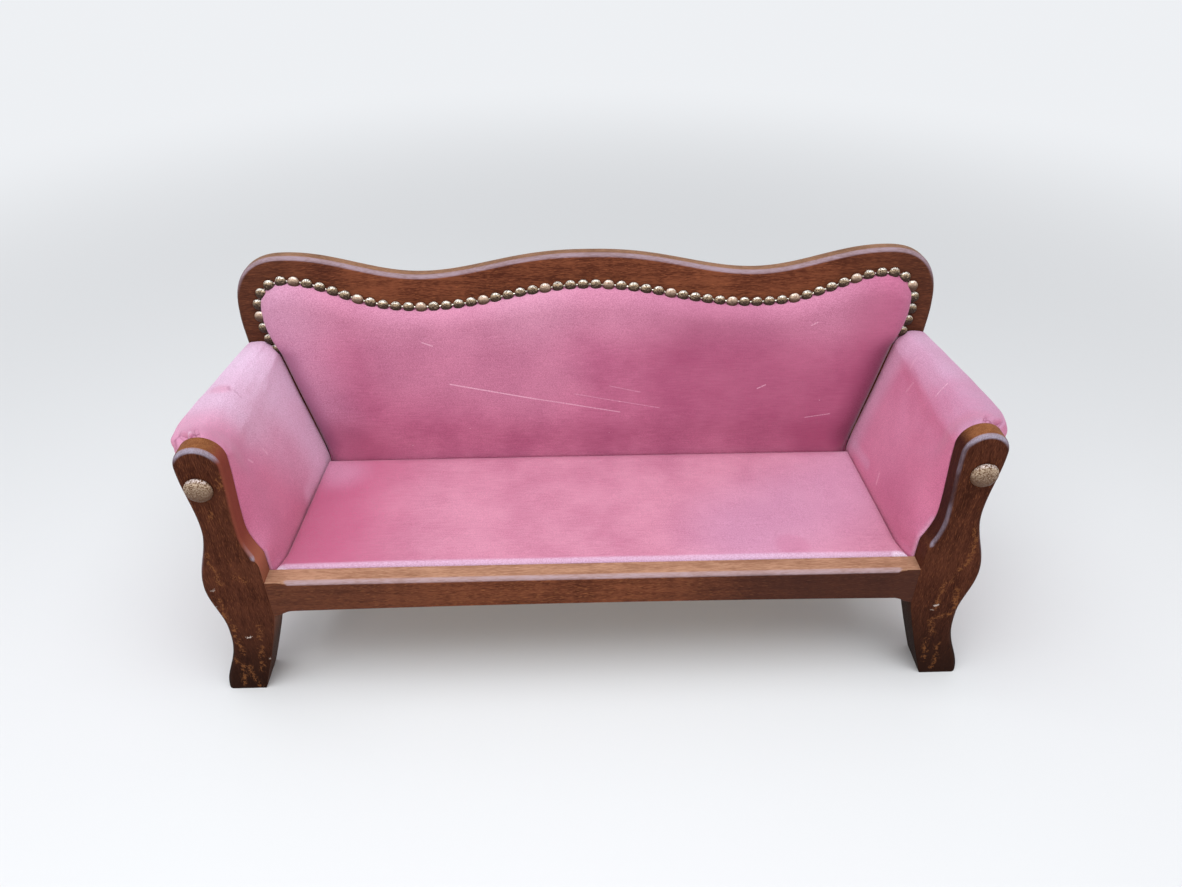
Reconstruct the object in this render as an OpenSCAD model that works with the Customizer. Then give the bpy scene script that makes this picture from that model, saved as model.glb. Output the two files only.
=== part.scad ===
/* [Overall] */
// Width over the tips of the front feet
width = 733; // [700:1:780]
// Depth from the faces of the dome nails to the heels of the back legs
depth = 258; // [254:1:290]

/* [Front legs] */
// Thickness of the leg plank, front to back
leg_t = 36; // [30:1:42]
// Depth of the stump that stays bare in front of the velvet
stump_show = 18; // [14:1:22]
// Step in the stump behind its bare part, where the velvet tucks in
stump_step = 7; // [5.5:0.5:8]
// Round-over of the leg's front edges
leg_round = 5; // [2:0.5:6]
// Width of the sole of the foot
foot_w = 37.5; // [32:0.5:44]
// How far the foot's tip sweeps out past the ankle
foot_sweep = 18.5; // [14:0.5:24]
// Height of the ankle, the narrowest place below the rail
ankle_z = 84; // [76:1:90]
// How far the knee swells out past the ankle
knee_swell = 9.2; // [6:0.2:13]
// Height of the knee
knee_z = 137; // [128:1:146]
// How far the waist draws in from the ankle
waist_draw = 6.4; // [4:0.2:9]
// Height of the waist
waist_z = 211; // [200:1:220]
// Width of the neck at the waist
neck_w = 32; // [29:0.5:34]
// Height of the inner hollow of the neck
neck_z = 202; // [192:1:212]
// Height of the shoulder, where the inner edge steps in towards the neck
shoulder_z = 167; // [160:1:172]
// Radius of the round head
head_r = 20; // [18:0.5:22]
// Height of the centre of the head
head_z = 275.5; // [268:0.5:284]
// Distance from the foot's tip in to the centre of the head
head_in = 39.5; // [37:0.5:43]
// Distance from the foot's tip in to the end of the front rail
rail_in = 66.5; // [62:0.5:72]

/* [Seat frame] */
// Height of the top of the front rail
rail_top = 144.5; // [140:0.5:149]
// Height of the rails' section
rail_h = 43; // [38:1:46]
// Thickness of the front rail
rail_t = 18; // [16:1:21]
// Round-over of the front rail's top edge
rail_round = 5; // [2:0.5:7]
// Distance from a leg at which the rail's round-over starts to run out
round_stop = 20; // [14:1:40]
// Radius of the router bit's bearing, which shapes the run-out
bit_r = 6; // [4:0.5:8]
// Depth of the long shallow relief under the front rail, near its ends
relief_h = 5.5; // [3:0.5:9]
// Length over which the relief runs out at each end of the rail
relief_run = 18; // [10:1:30]
// How much deeper the relief is in the middle of the rail
relief_bow = 2.8; // [0:0.2:5]
// Thickness of the side rails and the back rail
side_t = 18; // [14:1:20]
// Width and height of the seat ledgers
ledger_w = 20; // [17:1:24]
// Height of the ledgers' section
ledger_h = 12; // [8:1:15]
// Leg length of the triangular corner blocks
block_l = 34; // [28:1:40]
// Height of the corner blocks
block_h = 16; // [12:1:18]
// Width of the cross bearer under the seat
bearer_w = 30; // [20:1:44]
// Radius of the wooden dowels
dowel_r = 4; // [3:0.25:4.5]
// Length of the wooden dowels
dowel_l = 28; // [20:1:30]
// Radius of the block screws' shanks
screw_r = 1.7; // [1.2:0.1:2.2]
// Length of the block screws
screw_l = 26; // [20:1:28]

/* [Back] */
// Depth from the legs' front face to the back board, at rail height
seat_run = 198.4; // [190:0.2:200]
// Lean of the back from upright
rake = 4.8; // [3:0.1:6]
// Thickness of the crest board and the back posts
board_t = 18; // [15:1:20]
// Distance from the foot's tip in to the side of the crest board
crest_in = 19.5; // [16.5:0.5:28.5]
// Height of the crest's middle above the rails, along the board
mid_h = 220.4; // [208:0.5:230]
// Height of the crest's two hollows
hollow_h = 200.5; // [190:0.5:205]
// Height of the crest's two ears
ear_h = 221.3; // [208:0.5:230]
// Place of a hollow, as a share of the crest board's half width
hollow_share = 0.473; // [0.43:0.005:0.51]
// Distance from the crest board's side in to the top of an ear
ear_in = 54; // [45:1:65]
// Height over which an ear rounds down to its side
ear_drop = 60; // [48:1:62]
// How far the crest board's lower edge lies below the arms' top, measured up the back
crest_lap = 16.5; // [13:0.5:25]
// Round-over of the crest board's edges
crest_round = 5; // [2:0.5:5]
// Width of the back posts
post_w = 54; // [48:1:58]
// Thickness of the back legs at the sole
heel_t = 24; // [20:1:30]
// Height of the stay rail between the posts
stay_h = 28; // [20:1:36]
// Thickness of the inset plywood panel
panel_t = 3; // [2:0.5:4]

/* [Upholstery] */
// Thickness of the velvet
velvet_t = 1.2; // [0.8:0.1:1.6]
// How far the back pad stands proud at the seat
back_proud = 9.2; // [6:0.2:9.6]
// How far it stands proud at its fullest place
back_crown = 12.4; // [9:0.2:13]
// Width over which the back pad rolls down to its edge
back_roll = 20; // [12:1:28]
// Padding of the arms
arm_pad_t = 6; // [4:0.5:8]
// Stiff web panel inside the arms
web_t = 2; // [1:0.5:3]
// Distance from the foot's tip in to an arm's inner face, at the front of the seat
lap_front_in = 73.9; // [70.5:0.2:80.5]
// Distance from the foot's tip in to an arm's inner face, at the back of the seat
lap_back_in = 83.9; // [78.5:0.2:90.5]
// Distance from the foot's tip in to the inner side of an arm's top, at the front
arm_top_front_in = 56.5; // [50.5:0.5:60.5]
// Distance from the foot's tip in to the inner side of an arm's top, at the back
arm_top_back_in = 52.5; // [49.5:0.5:56.5]
// Distance from the foot's tip in to the fullest part of an arm, near the front
arm_out_front_in = 8; // [4.5:0.5:14.5]
// Distance from the foot's tip in to an arm's outer side at the back
arm_out_back_in = 22.5; // [19.5:0.5:28.5]
// Height of the arms near the front
arm_h_front = 288; // [280:1:294]
// Height of the arms at the back
arm_h_back = 278.5; // [274:0.5:290]
// Thickness of the arm rails
arm_rail_t = 11; // [9:0.5:11]
// Height of the arm rails' section
arm_rail_h = 34; // [26:1:40]

/* [Drop-in seat] */
// Height of the seat board's underside above the floor
seat_low = 128.2; // [124:0.2:130]
// Thickness of the seat board
seat_board_t = 6; // [5:0.5:8]
// Height of the seat's edge
seat_edge_z = 144.6; // [140:0.2:147]
// Height of the seat's middle
seat_top_z = 149; // [145:0.5:154]
// Running space between the seat and the upholstery round it
seat_play = 1.2; // [0.6:0.1:2]
// How far the seat's velvet is turned under the board
turn_under = 14; // [10:1:16]

/* [Nails] */
// Diameter of the strip's nail heads
head_d = 11; // [9:0.5:11.5]
// Height of the strip's nail heads
head_h = 3.8; // [2:0.2:4]
// Spacing of the strip's nail heads
pitch = 12.48; // [12:0.02:14]
// How far along its line the strip sits from the middle
nail_shift = -4.9; // [-5:0.1:5]
// Distance of the nail line's ends above the crest board's lower edge
nail_foot = 6.8; // [5.6:0.1:9]
// Distance of the nail line below the crest's middle
nail_mid_drop = 31.1; // [26:0.2:34]
// Distance of the nail line below the crest's hollows
nail_hollow_drop = 32.2; // [26:0.2:34]
// Distance of the nail line below the crest's ears
nail_ear_drop = 24; // [18:0.2:25]
// Distance of the nail line in from the crest's sides
nail_side_in = 22; // [19:0.5:26]
// Radius of the nail line's turn inside an ear
nail_turn = 28.5; // [24:0.5:32]
// Diameter of the large dome nails
dome_d = 24.6; // [20:0.2:28]
// How far the dome nails stand proud
dome_proud = 6.5; // [4:0.5:8]
// Height of the dome nails' centres
dome_z = 255; // [248:0.5:262]
// Distance of the dome nails in from the foot's tip
dome_in = 36.5; // [34:0.5:40]

/* [Hidden] */

// Clearances
glue_gap = 0.1;
touch_gap = 0.3;
eps = 0.01;

// Lines and levels that several pieces share
front_y = -depth / 2 + dome_proud;
back_y = front_y + seat_run;
foot_x = width / 2;
ankle_x = foot_x - foot_sweep;
knee_x = ankle_x + knee_swell;
waist_x = ankle_x - waist_draw;
head_x = foot_x - head_in;
rail_x = foot_x - rail_in;
crest_half = foot_x - crest_in;
hollow_x = crest_half * hollow_share;
arm_top_h = (arm_h_back - rail_top) / cos(rake);
crest_low = arm_top_h - crest_lap;
ear_x = crest_half - ear_in;
lap_front = foot_x - lap_front_in;
lap_back = foot_x - lap_back_in;
arm_top_front = foot_x - arm_top_front_in;
arm_top_back = foot_x - arm_top_back_in;
arm_out_front = foot_x - arm_out_front_in;
arm_out_back = foot_x - arm_out_back_in;
rail_low = rail_top - rail_h;
leg_back_y = front_y + leg_t;
stump_y = front_y + stump_show;
rail_back_y = front_y + rail_t;
post_in = crest_half - 3 - post_w;
toe_curve = 1.35;
taper_curve = 1.15;
ear_power = 2.5;
mid_curve = 1.2;

function ease(t) = (1 - cos(180 * t)) / 2;
function mix(a, b, t) = a + (b - a) * t;
function clamp01(t) = max(0, min(1, t));
function unit(v) = v / norm(v);
function left_of(v) = [-v[1], v[0]];

// Depth of the leaning back plane at a height above the floor
function plane_y(z) = back_y + (z - rail_top) * tan(rake);

// Height above the floor of a place on the board
function board_z(h) = rail_top + h * cos(rake);

// Places a child drawn in the board's own frame: x across, y to the rear, z up the board
module on_board() {
    translate([0, back_y, rail_top]) rotate([-rake, 0, 0]) children();
}

// Extrudes a front view from a front depth to a rear depth
module front_view(y0, y1) {
    translate([0, y1, 0]) rotate([90, 0, 0]) linear_extrude(y1 - y0) children();
}

// Keeps what lies in front of the leaning back plane
module cut_at_back() {
    intersection() {
        children();
        on_board() translate([-width, -2 * depth, -2 * rail_top])
            cube([2 * width, 2 * depth, 4 * rail_top]);
    }
}

module side(s) {
    if (s < 0) mirror([1, 0, 0]) children();
    else children();
}

// Points of one closed outline moved inwards by a distance, or by one for each point
function inset(pts, d) = let (n = len(pts)) [
    for (i = [0:n - 1])
        let (
            a = pts[(i + n - 1) % n],
            b = pts[(i + 1) % n],
            p = pts[i] + left_of(unit(b - a)) * (is_list(d) ? d[i] : d)
        ) [p[0], pts[i][1] == 0 ? 0 : p[1]]
];

// A solid through rings of points, each as long as the first
module skin(rings) {
    n = len(rings[0]);
    m = len(rings);
    walls = [for (k = [0:m - 2]) for (i = [0:n - 1])
        let (a = k * n + i, b = k * n + (i + 1) % n) each [[a, b, b + n], [a, b + n, a + n]]];
    caps = [[for (i = [n - 1:-1:0]) i], [for (i = [0:n - 1]) (m - 1) * n + i]];
    polyhedron([for (r = rings) each r], concat(walls, caps), convexity = 6);
}

// Rounded front edges of a plank, as rings round its outline
round_steps = 4;
function ring(outline, d, y) = let (pts = inset(outline, d))
    [for (i = [0:len(pts) - 1]) [pts[i][0], is_list(y) ? y[i] : y, pts[i][1]]];
function front_rings(outline, y, r) = [for (k = [0:round_steps]) let (a = 90 * k / round_steps)
    ring(outline, r * (1 - sin(a)), y + r * (1 - cos(a)))];
function back_rings(outline, y, r) = [for (k = [0:round_steps]) let (a = 90 * k / round_steps)
    ring(outline, r * (1 - cos(a)), y - r * (1 - sin(a)))];

// A solid between two grids of points that share their layout
module slab(top, under) {
    rows = len(top);
    cols = len(top[0]);
    m = rows * cols;
    points = concat([for (r = top) each r], [for (r = under) each r]);
    faces = [
        for (i = [0:rows - 2]) for (j = [0:cols - 2])
            let (a = i * cols + j, b = a + 1, c = a + cols + 1, d = a + cols)
            each [[a, b, c], [a, c, d], [m + a, m + c, m + b], [m + a, m + d, m + c]],
        for (j = [0:cols - 2]) let (a = j, c = (rows - 1) * cols + j) each [
            [a, m + a, m + a + 1], [a, m + a + 1, a + 1],
            [c, m + c + 1, m + c], [c, c + 1, m + c + 1]
        ],
        for (i = [0:rows - 2]) let (a = i * cols, c = a + cols - 1) each [
            [a, m + a + cols, m + a], [a, a + cols, m + a + cols],
            [c, m + c, m + c + cols], [c, m + c + cols, c + cols]
        ]
    ];
    polyhedron(points, faces, convexity = 8);
}

// Places round the edge of a grid, in order
function rim_steps(rows, cols) = [
    for (j = [0:cols - 2]) [0, j],
    for (i = [0:rows - 2]) [i, cols - 1],
    for (j = [cols - 1:-1:1]) [rows - 1, j],
    for (i = [rows - 1:-1:1]) [i, 0]
];
function rim_at(grid, z) = [for (k = rim_steps(len(grid), len(grid[0])))
    let (p = grid[k[0]][k[1]]) [p[0], p[1], z]];

// A cover between two grids whose edge is carried on round a list of loops
module pocket(top, under, loops) {
    rows = len(top);
    cols = len(top[0]);
    m = rows * cols;
    steps = rim_steps(rows, cols);
    n = len(steps);
    points = concat([for (r = top) each r], [for (r = under) each r], [for (l = loops) each l]);
    order = concat(
        [[for (k = steps) k[0] * cols + k[1]]],
        [for (l = [0:len(loops) - 1]) [for (k = [0:n - 1]) 2 * m + l * n + k]],
        [[for (k = steps) m + k[0] * cols + k[1]]]
    );
    faces = [
        for (i = [0:rows - 2]) for (j = [0:cols - 2])
            let (a = i * cols + j, b = a + 1, c = a + cols + 1, d = a + cols)
            each [[a, b, c], [a, c, d], [m + a, m + c, m + b], [m + a, m + d, m + c]],
        for (l = [0:len(order) - 2]) for (k = [0:n - 1])
            let (a = order[l], b = order[l + 1], e = (k + 1) % n)
            each [[a[k], b[k], b[e]], [a[k], b[e], a[e]]]
    ];
    polyhedron(points, faces, convexity = 8);
}

// Outer edge of the front leg at a height
function leg_out(z) =
    z < ankle_z ? ankle_x + foot_sweep * ease(pow((ankle_z - z) / ankle_z, toe_curve))
    : z < knee_z ? mix(ankle_x, knee_x, ease((z - ankle_z) / (knee_z - ankle_z)))
    : z < waist_z ? mix(knee_x, waist_x, ease((z - knee_z) / (waist_z - knee_z)))
    : mix(waist_x, head_x + head_r, ease((z - waist_z) / (head_z - waist_z)));

// Inner edge of the front leg at a height
function leg_in(z) =
    z < rail_low ? rail_x + (foot_x - foot_w - rail_x) * pow(1 - z / rail_low, taper_curve)
    : z < shoulder_z ? rail_x
    : z < neck_z ? mix(rail_x, waist_x - neck_w, sin(90 * (z - shoulder_z) / (neck_z - shoulder_z)))
    : mix(waist_x - neck_w, head_x - head_r, ease((z - neck_z) / (head_z - neck_z)));

out_levels = 30;
neck_levels = 12;
taper_levels = 8;
head_turn = 15;
shoulder_soft = 2;
function leg_outline() = [
    for (i = [0:out_levels]) let (z = head_z * i / out_levels) [leg_out(z), z],
    for (a = [head_turn:head_turn:180 - head_turn]) [head_x + head_r * cos(a), head_z + head_r * sin(a)],
    for (i = [0:neck_levels]) let (z = mix(head_z, shoulder_z + shoulder_soft, i / neck_levels))
        [leg_in(z), z],
    [rail_x, shoulder_z - shoulder_soft],
    [rail_x, rail_top],
    for (i = [0:taper_levels]) let (z = rail_low * (1 - i / taper_levels)) [leg_in(z), z]
];

// The round-over follows the front edge but stops above the inner shoulder
arris = 0.6;
stop_run = 9;
inner_from = out_levels + 180 / head_turn;
function leg_rounds(outline) = [for (i = [0:len(outline) - 1])
    i < inner_from ? leg_round
    : mix(arris, leg_round, ease(clamp01((outline[i][1] - shoulder_z) / stop_run)))];
function leg_front(outline) = let (r = leg_rounds(outline)) [
    for (k = [0:round_steps]) let (a = 90 * k / round_steps)
        ring(outline, r * (1 - sin(a)), [for (v = r) front_y + v * (1 - cos(a))])
];

// The plank is full behind its face, and its stump is stepped in where the velvet tucks behind it
shoulder_run = 6;
module leg_plank() {
    outline = leg_outline();
    slim = inset(outline, stump_step);
    function behind(y_stump, y_low) = [for (i = [0:len(outline) - 1])
        outline[i][1] > rail_top ? [slim[i][0], y_stump, slim[i][1]]
        : [outline[i][0], y_low, outline[i][1]]];
    skin(concat(
        leg_front(outline),
        [ring(outline, 0, stump_y)],
        [behind(stump_y, stump_y + shoulder_run)],
        [behind(leg_back_y, leg_back_y)]
    ));
}

module front_leg(s) {
    side(s) difference() {
        leg_plank();
        front_dowels(dowel_r + glue_gap);
        side_front_dowels(dowel_r + glue_gap);
        arm_front_dowels(dowel_r + glue_gap);
        translate([foot_x - dome_in, front_y, dome_z]) rotate([-90, 0, 0])
            cylinder(h = dome_shank_l + glue_gap, r = dome_shank_r + glue_gap, $fn = 24);
    }
}

module front_leg_left() color("#4a2c20") front_leg(-1);
module front_leg_right() color("#4a2c20") front_leg(1);

// Dowels that lie across the sofa, between the front rail and a leg
dowel_levels = [0.28, 0.72];
module cross_dowel(x, y, z, r) {
    grow = r > dowel_r ? glue_gap : 0;
    translate([x - dowel_l / 2 - grow, y, z]) rotate([0, 90, 0])
        cylinder(h = dowel_l + 2 * grow, r = r, $fn = 24);
}
module deep_dowel(x, y, z, r) {
    grow = r > dowel_r ? glue_gap : 0;
    translate([x, y - dowel_l / 2 - grow, z]) rotate([-90, 0, 0])
        cylinder(h = dowel_l + 2 * grow, r = r, $fn = 24);
}
module front_dowels(r) {
    for (k = dowel_levels) cross_dowel(rail_x, front_y + rail_t / 2 + 1, rail_low + rail_h * k, r);
}

// Side rails run straight from the front legs to the back posts
side_gap = velvet_t + arm_pad_t + web_t;
side_front = mix(lap_front, lap_back, (leg_back_y - stump_y) / (back_y - stump_y)) + side_gap;
side_back = lap_back + side_gap;
side_h = rail_h - 3;
function side_in(y) = mix(side_front, side_back, (y - leg_back_y) / (back_y - leg_back_y));
module side_front_dowels(r) {
    for (k = dowel_levels)
        deep_dowel(side_front + side_t / 2, leg_back_y, rail_low + rail_h * k, r);
}
module side_back_dowels(r) {
    z = rail_low + rail_h / 2;
    deep_dowel(side_back + side_t / 2, plane_y(z), z, r);
}

// Underside of the front rail: a long shallow bow that runs out beside the legs
function rail_under(x) = rail_low + relief_h * ease(clamp01((rail_x - abs(x)) / relief_run))
    + relief_bow * (1 - pow(x / rail_x, 2));
under_steps = 26;

// Path of the bit that rounds the rail's top edge over and stops short of the legs
module round_over_cut() {
    stop_x = rail_x - round_stop;
    module bit() difference() {
        translate([0, rail_top - rail_round]) square([bit_r + rail_round, rail_round + 1]);
        translate([bit_r + rail_round, rail_top - rail_round]) circle(r = rail_round, $fn = 48);
    }
    translate([-stop_x, front_y - bit_r, 0]) rotate([90, 0, 90]) linear_extrude(2 * stop_x) bit();
    for (s = [-1, 1]) translate([s * stop_x, front_y - bit_r, 0]) rotate_extrude($fn = 48) bit();
}

module front_rail() {
    color("#4a2c20") difference() {
        front_view(front_y, front_y + rail_t) polygon(concat(
            [[-rail_x, rail_top], [rail_x, rail_top]],
            [for (i = [under_steps:-1:-under_steps]) let (x = rail_x * sin(90 * i / under_steps))
                [x, rail_under(x)]]
        ));
        round_over_cut();
        for (s = [-1, 1]) side(s) front_dowels(dowel_r + glue_gap);
    }
}

module side_rail(s) {
    side(s) difference() {
        cut_at_back() translate([0, 0, rail_low]) linear_extrude(side_h) polygon([
            [side_front, leg_back_y],
            [side_front + side_t, leg_back_y],
            [side_back + side_t, back_y],
            [side_back, back_y]
        ]);
        side_front_dowels(dowel_r + glue_gap);
        side_back_dowels(dowel_r + glue_gap);
    }
}
module side_rail_left() color("#6b4630") side_rail(-1);
module side_rail_right() color("#6b4630") side_rail(1);

// Back legs: straight and leaning above the seat frame, swept back below it
heel_curve = 1.6;
heel_levels = 14;
function post_front(z) = plane_y(z) + (z < rail_low
    ? (depth / 2 - heel_t - plane_y(0)) * pow(1 - z / rail_low, heel_curve) : 0);
function post_rear(z) = plane_y(z) + board_t / cos(rake) + (z < rail_low
    ? (depth / 2 - board_t / cos(rake) - plane_y(0)) * pow(1 - z / rail_low, heel_curve) : 0);
post_top = board_z(crest_low);

module back_leg(s) {
    side(s) difference() {
        translate([post_in, 0, 0]) rotate([90, 0, 90]) linear_extrude(post_w) polygon([
            for (i = [0:heel_levels]) let (z = rail_low * i / heel_levels) [post_front(z), z],
            [plane_y(post_top), post_top],
            [plane_y(post_top) + board_t * cos(rake), post_top - board_t * sin(rake)],
            for (i = [heel_levels:-1:0]) let (z = rail_low * i / heel_levels) [post_rear(z), z]
        ]);
        side_back_dowels(dowel_r + glue_gap);
        arm_back_dowels(dowel_r + glue_gap);
        rail_end_dowels(dowel_r + glue_gap);
        post_dowels(dowel_r + glue_gap);
    }
}
module back_leg_left() color("#5a3626") back_leg(-1);
module back_leg_right() color("#5a3626") back_leg(1);

// The two rails between the posts lie in the board's plane
stay_low = 10;
back_rail_low = -rail_h + 2;
module rail_end_dowels(r) {
    on_board() for (z = [back_rail_low + rail_h * 0.25, back_rail_low + rail_h * 0.7,
        stay_low + stay_h * 0.25, stay_low + stay_h * 0.75])
        cross_dowel(post_in, board_t / 2, z, r);
}
module board_bar(low, h) {
    difference() {
        on_board() translate([-post_in, 0, low]) cube([2 * post_in, board_t, h]);
        for (s = [-1, 1]) side(s) rail_end_dowels(dowel_r + glue_gap);
    }
}
module back_rail() color("#6b4630") board_bar(back_rail_low, rail_h - 2 - 4);
module stay_rail() color("#6b4630") board_bar(stay_low, stay_h);

// Crest board: a wave between two ears, on a straight lower edge
function crest_top(x) =
    x < hollow_x ? mix(mid_h, hollow_h, ease(pow(x / hollow_x, mid_curve)))
    : x < ear_x ? mix(hollow_h, ear_h, ease((x - hollow_x) / (ear_x - hollow_x)))
    : ear_h - ear_drop + ear_drop
        * pow(1 - pow((x - ear_x) / (crest_half - ear_x), ear_power), 1 / ear_power);
wave_steps = 26;
ear_steps = 9;
function crest_right() = concat(
    [for (i = [0:2]) let (t = i / 3, h = mix(crest_low, ear_h - ear_drop, t))
        [crest_half - 3 * (1 - ease(t)), h]],
    [for (i = [0:ear_steps]) let (x = ear_x + (crest_half - ear_x) * cos(90 * i / ear_steps))
        [x, crest_top(x)]],
    [for (i = [wave_steps - 1:-1:1]) let (x = ear_x * i / wave_steps) [x, crest_top(x)]]
);
function crest_outline() = concat(
    crest_right(), [[0, mid_h]],
    [for (i = [len(crest_right()) - 1:-1:0]) [-crest_right()[i][0], crest_right()[i][1]]]
);
module post_dowels(r) {
    for (k = [1, 2]) on_board()
        translate([post_in + dowel_r * 3 * k, board_t / 2, crest_low - dowel_l / 2])
            cylinder(h = dowel_l, r = r, $fn = 24);
}
module crest_board() {
    color("#4a2c20") difference() {
        on_board() skin(concat(
            front_rings(crest_outline(), 0, crest_round),
            back_rings(crest_outline(), board_t, crest_round)
        ));
        for (s = [-1, 1]) side(s) post_dowels(dowel_r + glue_gap);
    }
}

// Arm rails: boards on edge under the arms' rolls
arm_rail_in = arm_top_back + velvet_t + arm_pad_t + 2 * touch_gap;
arm_rail_drop = velvet_t + arm_pad_t + 3.4;
arm_rail_front_z = arm_h_front - arm_rail_drop;
arm_rail_back_z = arm_h_back - arm_rail_drop;
skirt_share = 0.6;

// Top of the arm rail at a depth
function arm_rail_line(y) = mix(arm_rail_front_z, arm_rail_back_z,
    (y - leg_back_y) / (plane_y(arm_rail_back_z) - leg_back_y));
module arm_front_dowels(r) {
    deep_dowel(arm_rail_in + arm_rail_t / 2, leg_back_y, arm_rail_front_z - arm_rail_h / 2, r);
}
module arm_back_dowels(r) {
    z = arm_rail_back_z - arm_rail_h * 0.7;
    deep_dowel(arm_rail_in + arm_rail_t / 2, plane_y(z), z, r);
}
module arm_rail(s) {
    side(s) difference() {
        cut_at_back() translate([arm_rail_in, 0, 0]) rotate([90, 0, 90])
            linear_extrude(arm_rail_t) polygon([
                [leg_back_y, arm_rail_front_z - arm_rail_h],
                [leg_back_y, arm_rail_front_z],
                [plane_y(arm_rail_back_z) + 1, arm_rail_back_z],
                [plane_y(arm_rail_back_z) + 1, arm_rail_back_z - arm_rail_h]
            ]);
        arm_front_dowels(dowel_r + glue_gap);
        arm_back_dowels(dowel_r + glue_gap);
    }
}
module arm_rail_left() color("#6b4630") arm_rail(-1);
module arm_rail_right() color("#6b4630") arm_rail(1);

// Ledgers that the drop-in seat rests on, and a bearer between them
ledger_top = seat_low - velvet_t;
ledger_half = lap_back - ledger_w * 0.8;
ledger_back = plane_y(ledger_top - ledger_h);
module seat_ledgers() {
    color("#8a6547") {
        translate([-ledger_half, rail_back_y, ledger_top - ledger_h])
            cube([2 * ledger_half, ledger_w, ledger_h]);
        cut_at_back()
            translate([-ledger_half, ledger_back - ledger_w, ledger_top - ledger_h])
                cube([2 * ledger_half, ledger_w + 5, ledger_h]);
    }
}
module cross_bearer() {
    color("#8a6547") translate([-bearer_w / 2, rail_back_y + ledger_w, ledger_top - ledger_h])
        cube([bearer_w, ledger_back - ledger_w - rail_back_y - ledger_w, ledger_h]);
}

// Corner blocks under the ledgers, in the four corners of the seat frame
block_top = ledger_top - ledger_h;
block_cut = block_l * 0.3;
block_back_y = plane_y(block_top - block_h);
module front_block() {
    x = rail_x - touch_gap;
    translate([0, 0, block_top - block_h]) linear_extrude(block_h) polygon([
        [x - block_l, rail_back_y], [x, rail_back_y],
        [x, rail_back_y + block_l], [x - block_cut, rail_back_y + block_l],
        [x - block_l, rail_back_y + block_cut]
    ]);
}
module back_block() {
    x = side_in(block_back_y) - touch_gap;
    cut_at_back() translate([0, 0, block_top - block_h]) linear_extrude(block_h) polygon([
        [x - block_l, block_back_y + 2], [x, block_back_y + 2],
        [x, block_back_y - block_l], [x - block_cut, block_back_y - block_l],
        [x - block_l, block_back_y - block_cut]
    ]);
}
module corner_blocks() {
    color("#8a6547") for (s = [-1, 1]) side(s) {
        front_block();
        back_block();
    }
}

// Two screws in each block, one forwards or backwards and one sideways
module wood_screw() {
    cylinder(h = screw_l, r1 = screw_r, r2 = screw_r * 0.6, $fn = 24);
    cylinder(h = screw_r, r1 = screw_r * 2, r2 = screw_r, $fn = 24);
}
module block_screws() {
    z = block_top - block_h / 2;
    color("#9c8a5a") for (s = [-1, 1]) side(s) {
        translate([rail_x - block_l * 0.62, rail_back_y + screw_l - rail_t * 0.7, z])
            rotate([90, 0, 0]) wood_screw();
        translate([rail_x - screw_l + side_t * 0.7, rail_back_y + block_l * 0.72, z])
            rotate([0, 90, 0]) wood_screw();
        translate([side_in(block_back_y) - block_l * 0.62,
            block_back_y - screw_l + board_t * 0.7, z]) rotate([-90, 0, 0]) wood_screw();
        translate([side_in(block_back_y) - screw_l + side_t * 0.7,
            block_back_y - block_l * 0.72, z]) rotate([0, 90, 0]) wood_screw();
    }
}

module rail_dowels() {
    color("#c8a878") for (s = [-1, 1]) side(s) {
        front_dowels(dowel_r);
        side_front_dowels(dowel_r);
        side_back_dowels(dowel_r);
        rail_end_dowels(dowel_r);
        arm_front_dowels(dowel_r);
        arm_back_dowels(dowel_r);
    }
}
module crest_dowels() {
    color("#c8a878") for (s = [-1, 1]) side(s) post_dowels(dowel_r - glue_gap);
}

// Nail line on the crest board, from behind an arm round the ear to the middle
nail_ear_x = crest_half - nail_side_in - nail_turn;
nail_ear_h = ear_h - nail_ear_drop;
nail_hollow_h = hollow_h - nail_hollow_drop;
nail_turn_h = nail_ear_h - nail_turn;
nail_bend_r = 151.5;
nail_bend_drop = 6;
nail_foot_h = crest_low + nail_foot;
function nail_side(h) = crest_half - nail_side_in
    - pow(max(0, nail_turn_h - nail_bend_drop - h), 2) / nail_bend_r;
function nail_height(x) =
    x < hollow_x ? mix(mid_h - nail_mid_drop, nail_hollow_h, ease(x / hollow_x))
    : x < nail_ear_x ? mix(nail_hollow_h, nail_ear_h,
        ease(pow((x - hollow_x) / (nail_ear_x - hollow_x), 1.3)))
    : nail_turn_h + nail_turn * sqrt(max(0, 1 - pow((x - nail_ear_x) / nail_turn, 2)));
nail_half = concat(
    [for (i = [0:7]) let (h = mix(nail_foot_h, nail_turn_h, i / 8)) [nail_side(h), h]],
    [for (a = [0:9:81]) [nail_ear_x + nail_turn * cos(a), nail_turn_h + nail_turn * sin(a)]],
    [for (i = [60:-1:1]) let (x = nail_ear_x * i / 60) [x, nail_height(x)]]
);
nail_line = concat(
    [for (p = nail_half) [-p[0], p[1]]], [[0, nail_height(0)]],
    [for (i = [len(nail_half) - 1:-1:0]) nail_half[i]]
);
nail_arc = [for (i = 0, s = 0; i < len(nail_line);
    s = s + (i + 1 < len(nail_line) ? norm(nail_line[i + 1] - nail_line[i]) : 0), i = i + 1) s];
nail_length = nail_arc[len(nail_arc) - 1];
nail_count = floor(nail_length / pitch) + 1;
nail_start = (nail_length - (nail_count - 1) * pitch) / 2 + nail_shift;
function along(s, i = 0) = i >= len(nail_line) - 2 || nail_arc[i + 1] >= s
    ? mix(nail_line[i], nail_line[i + 1], (s - nail_arc[i]) / (nail_arc[i + 1] - nail_arc[i]))
    : along(s, i + 1);
nail_at = [for (k = [0:nail_count - 1]) along(nail_start + k * pitch)];
function is_real_nail(k) = k % 5 == 3;
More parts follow.
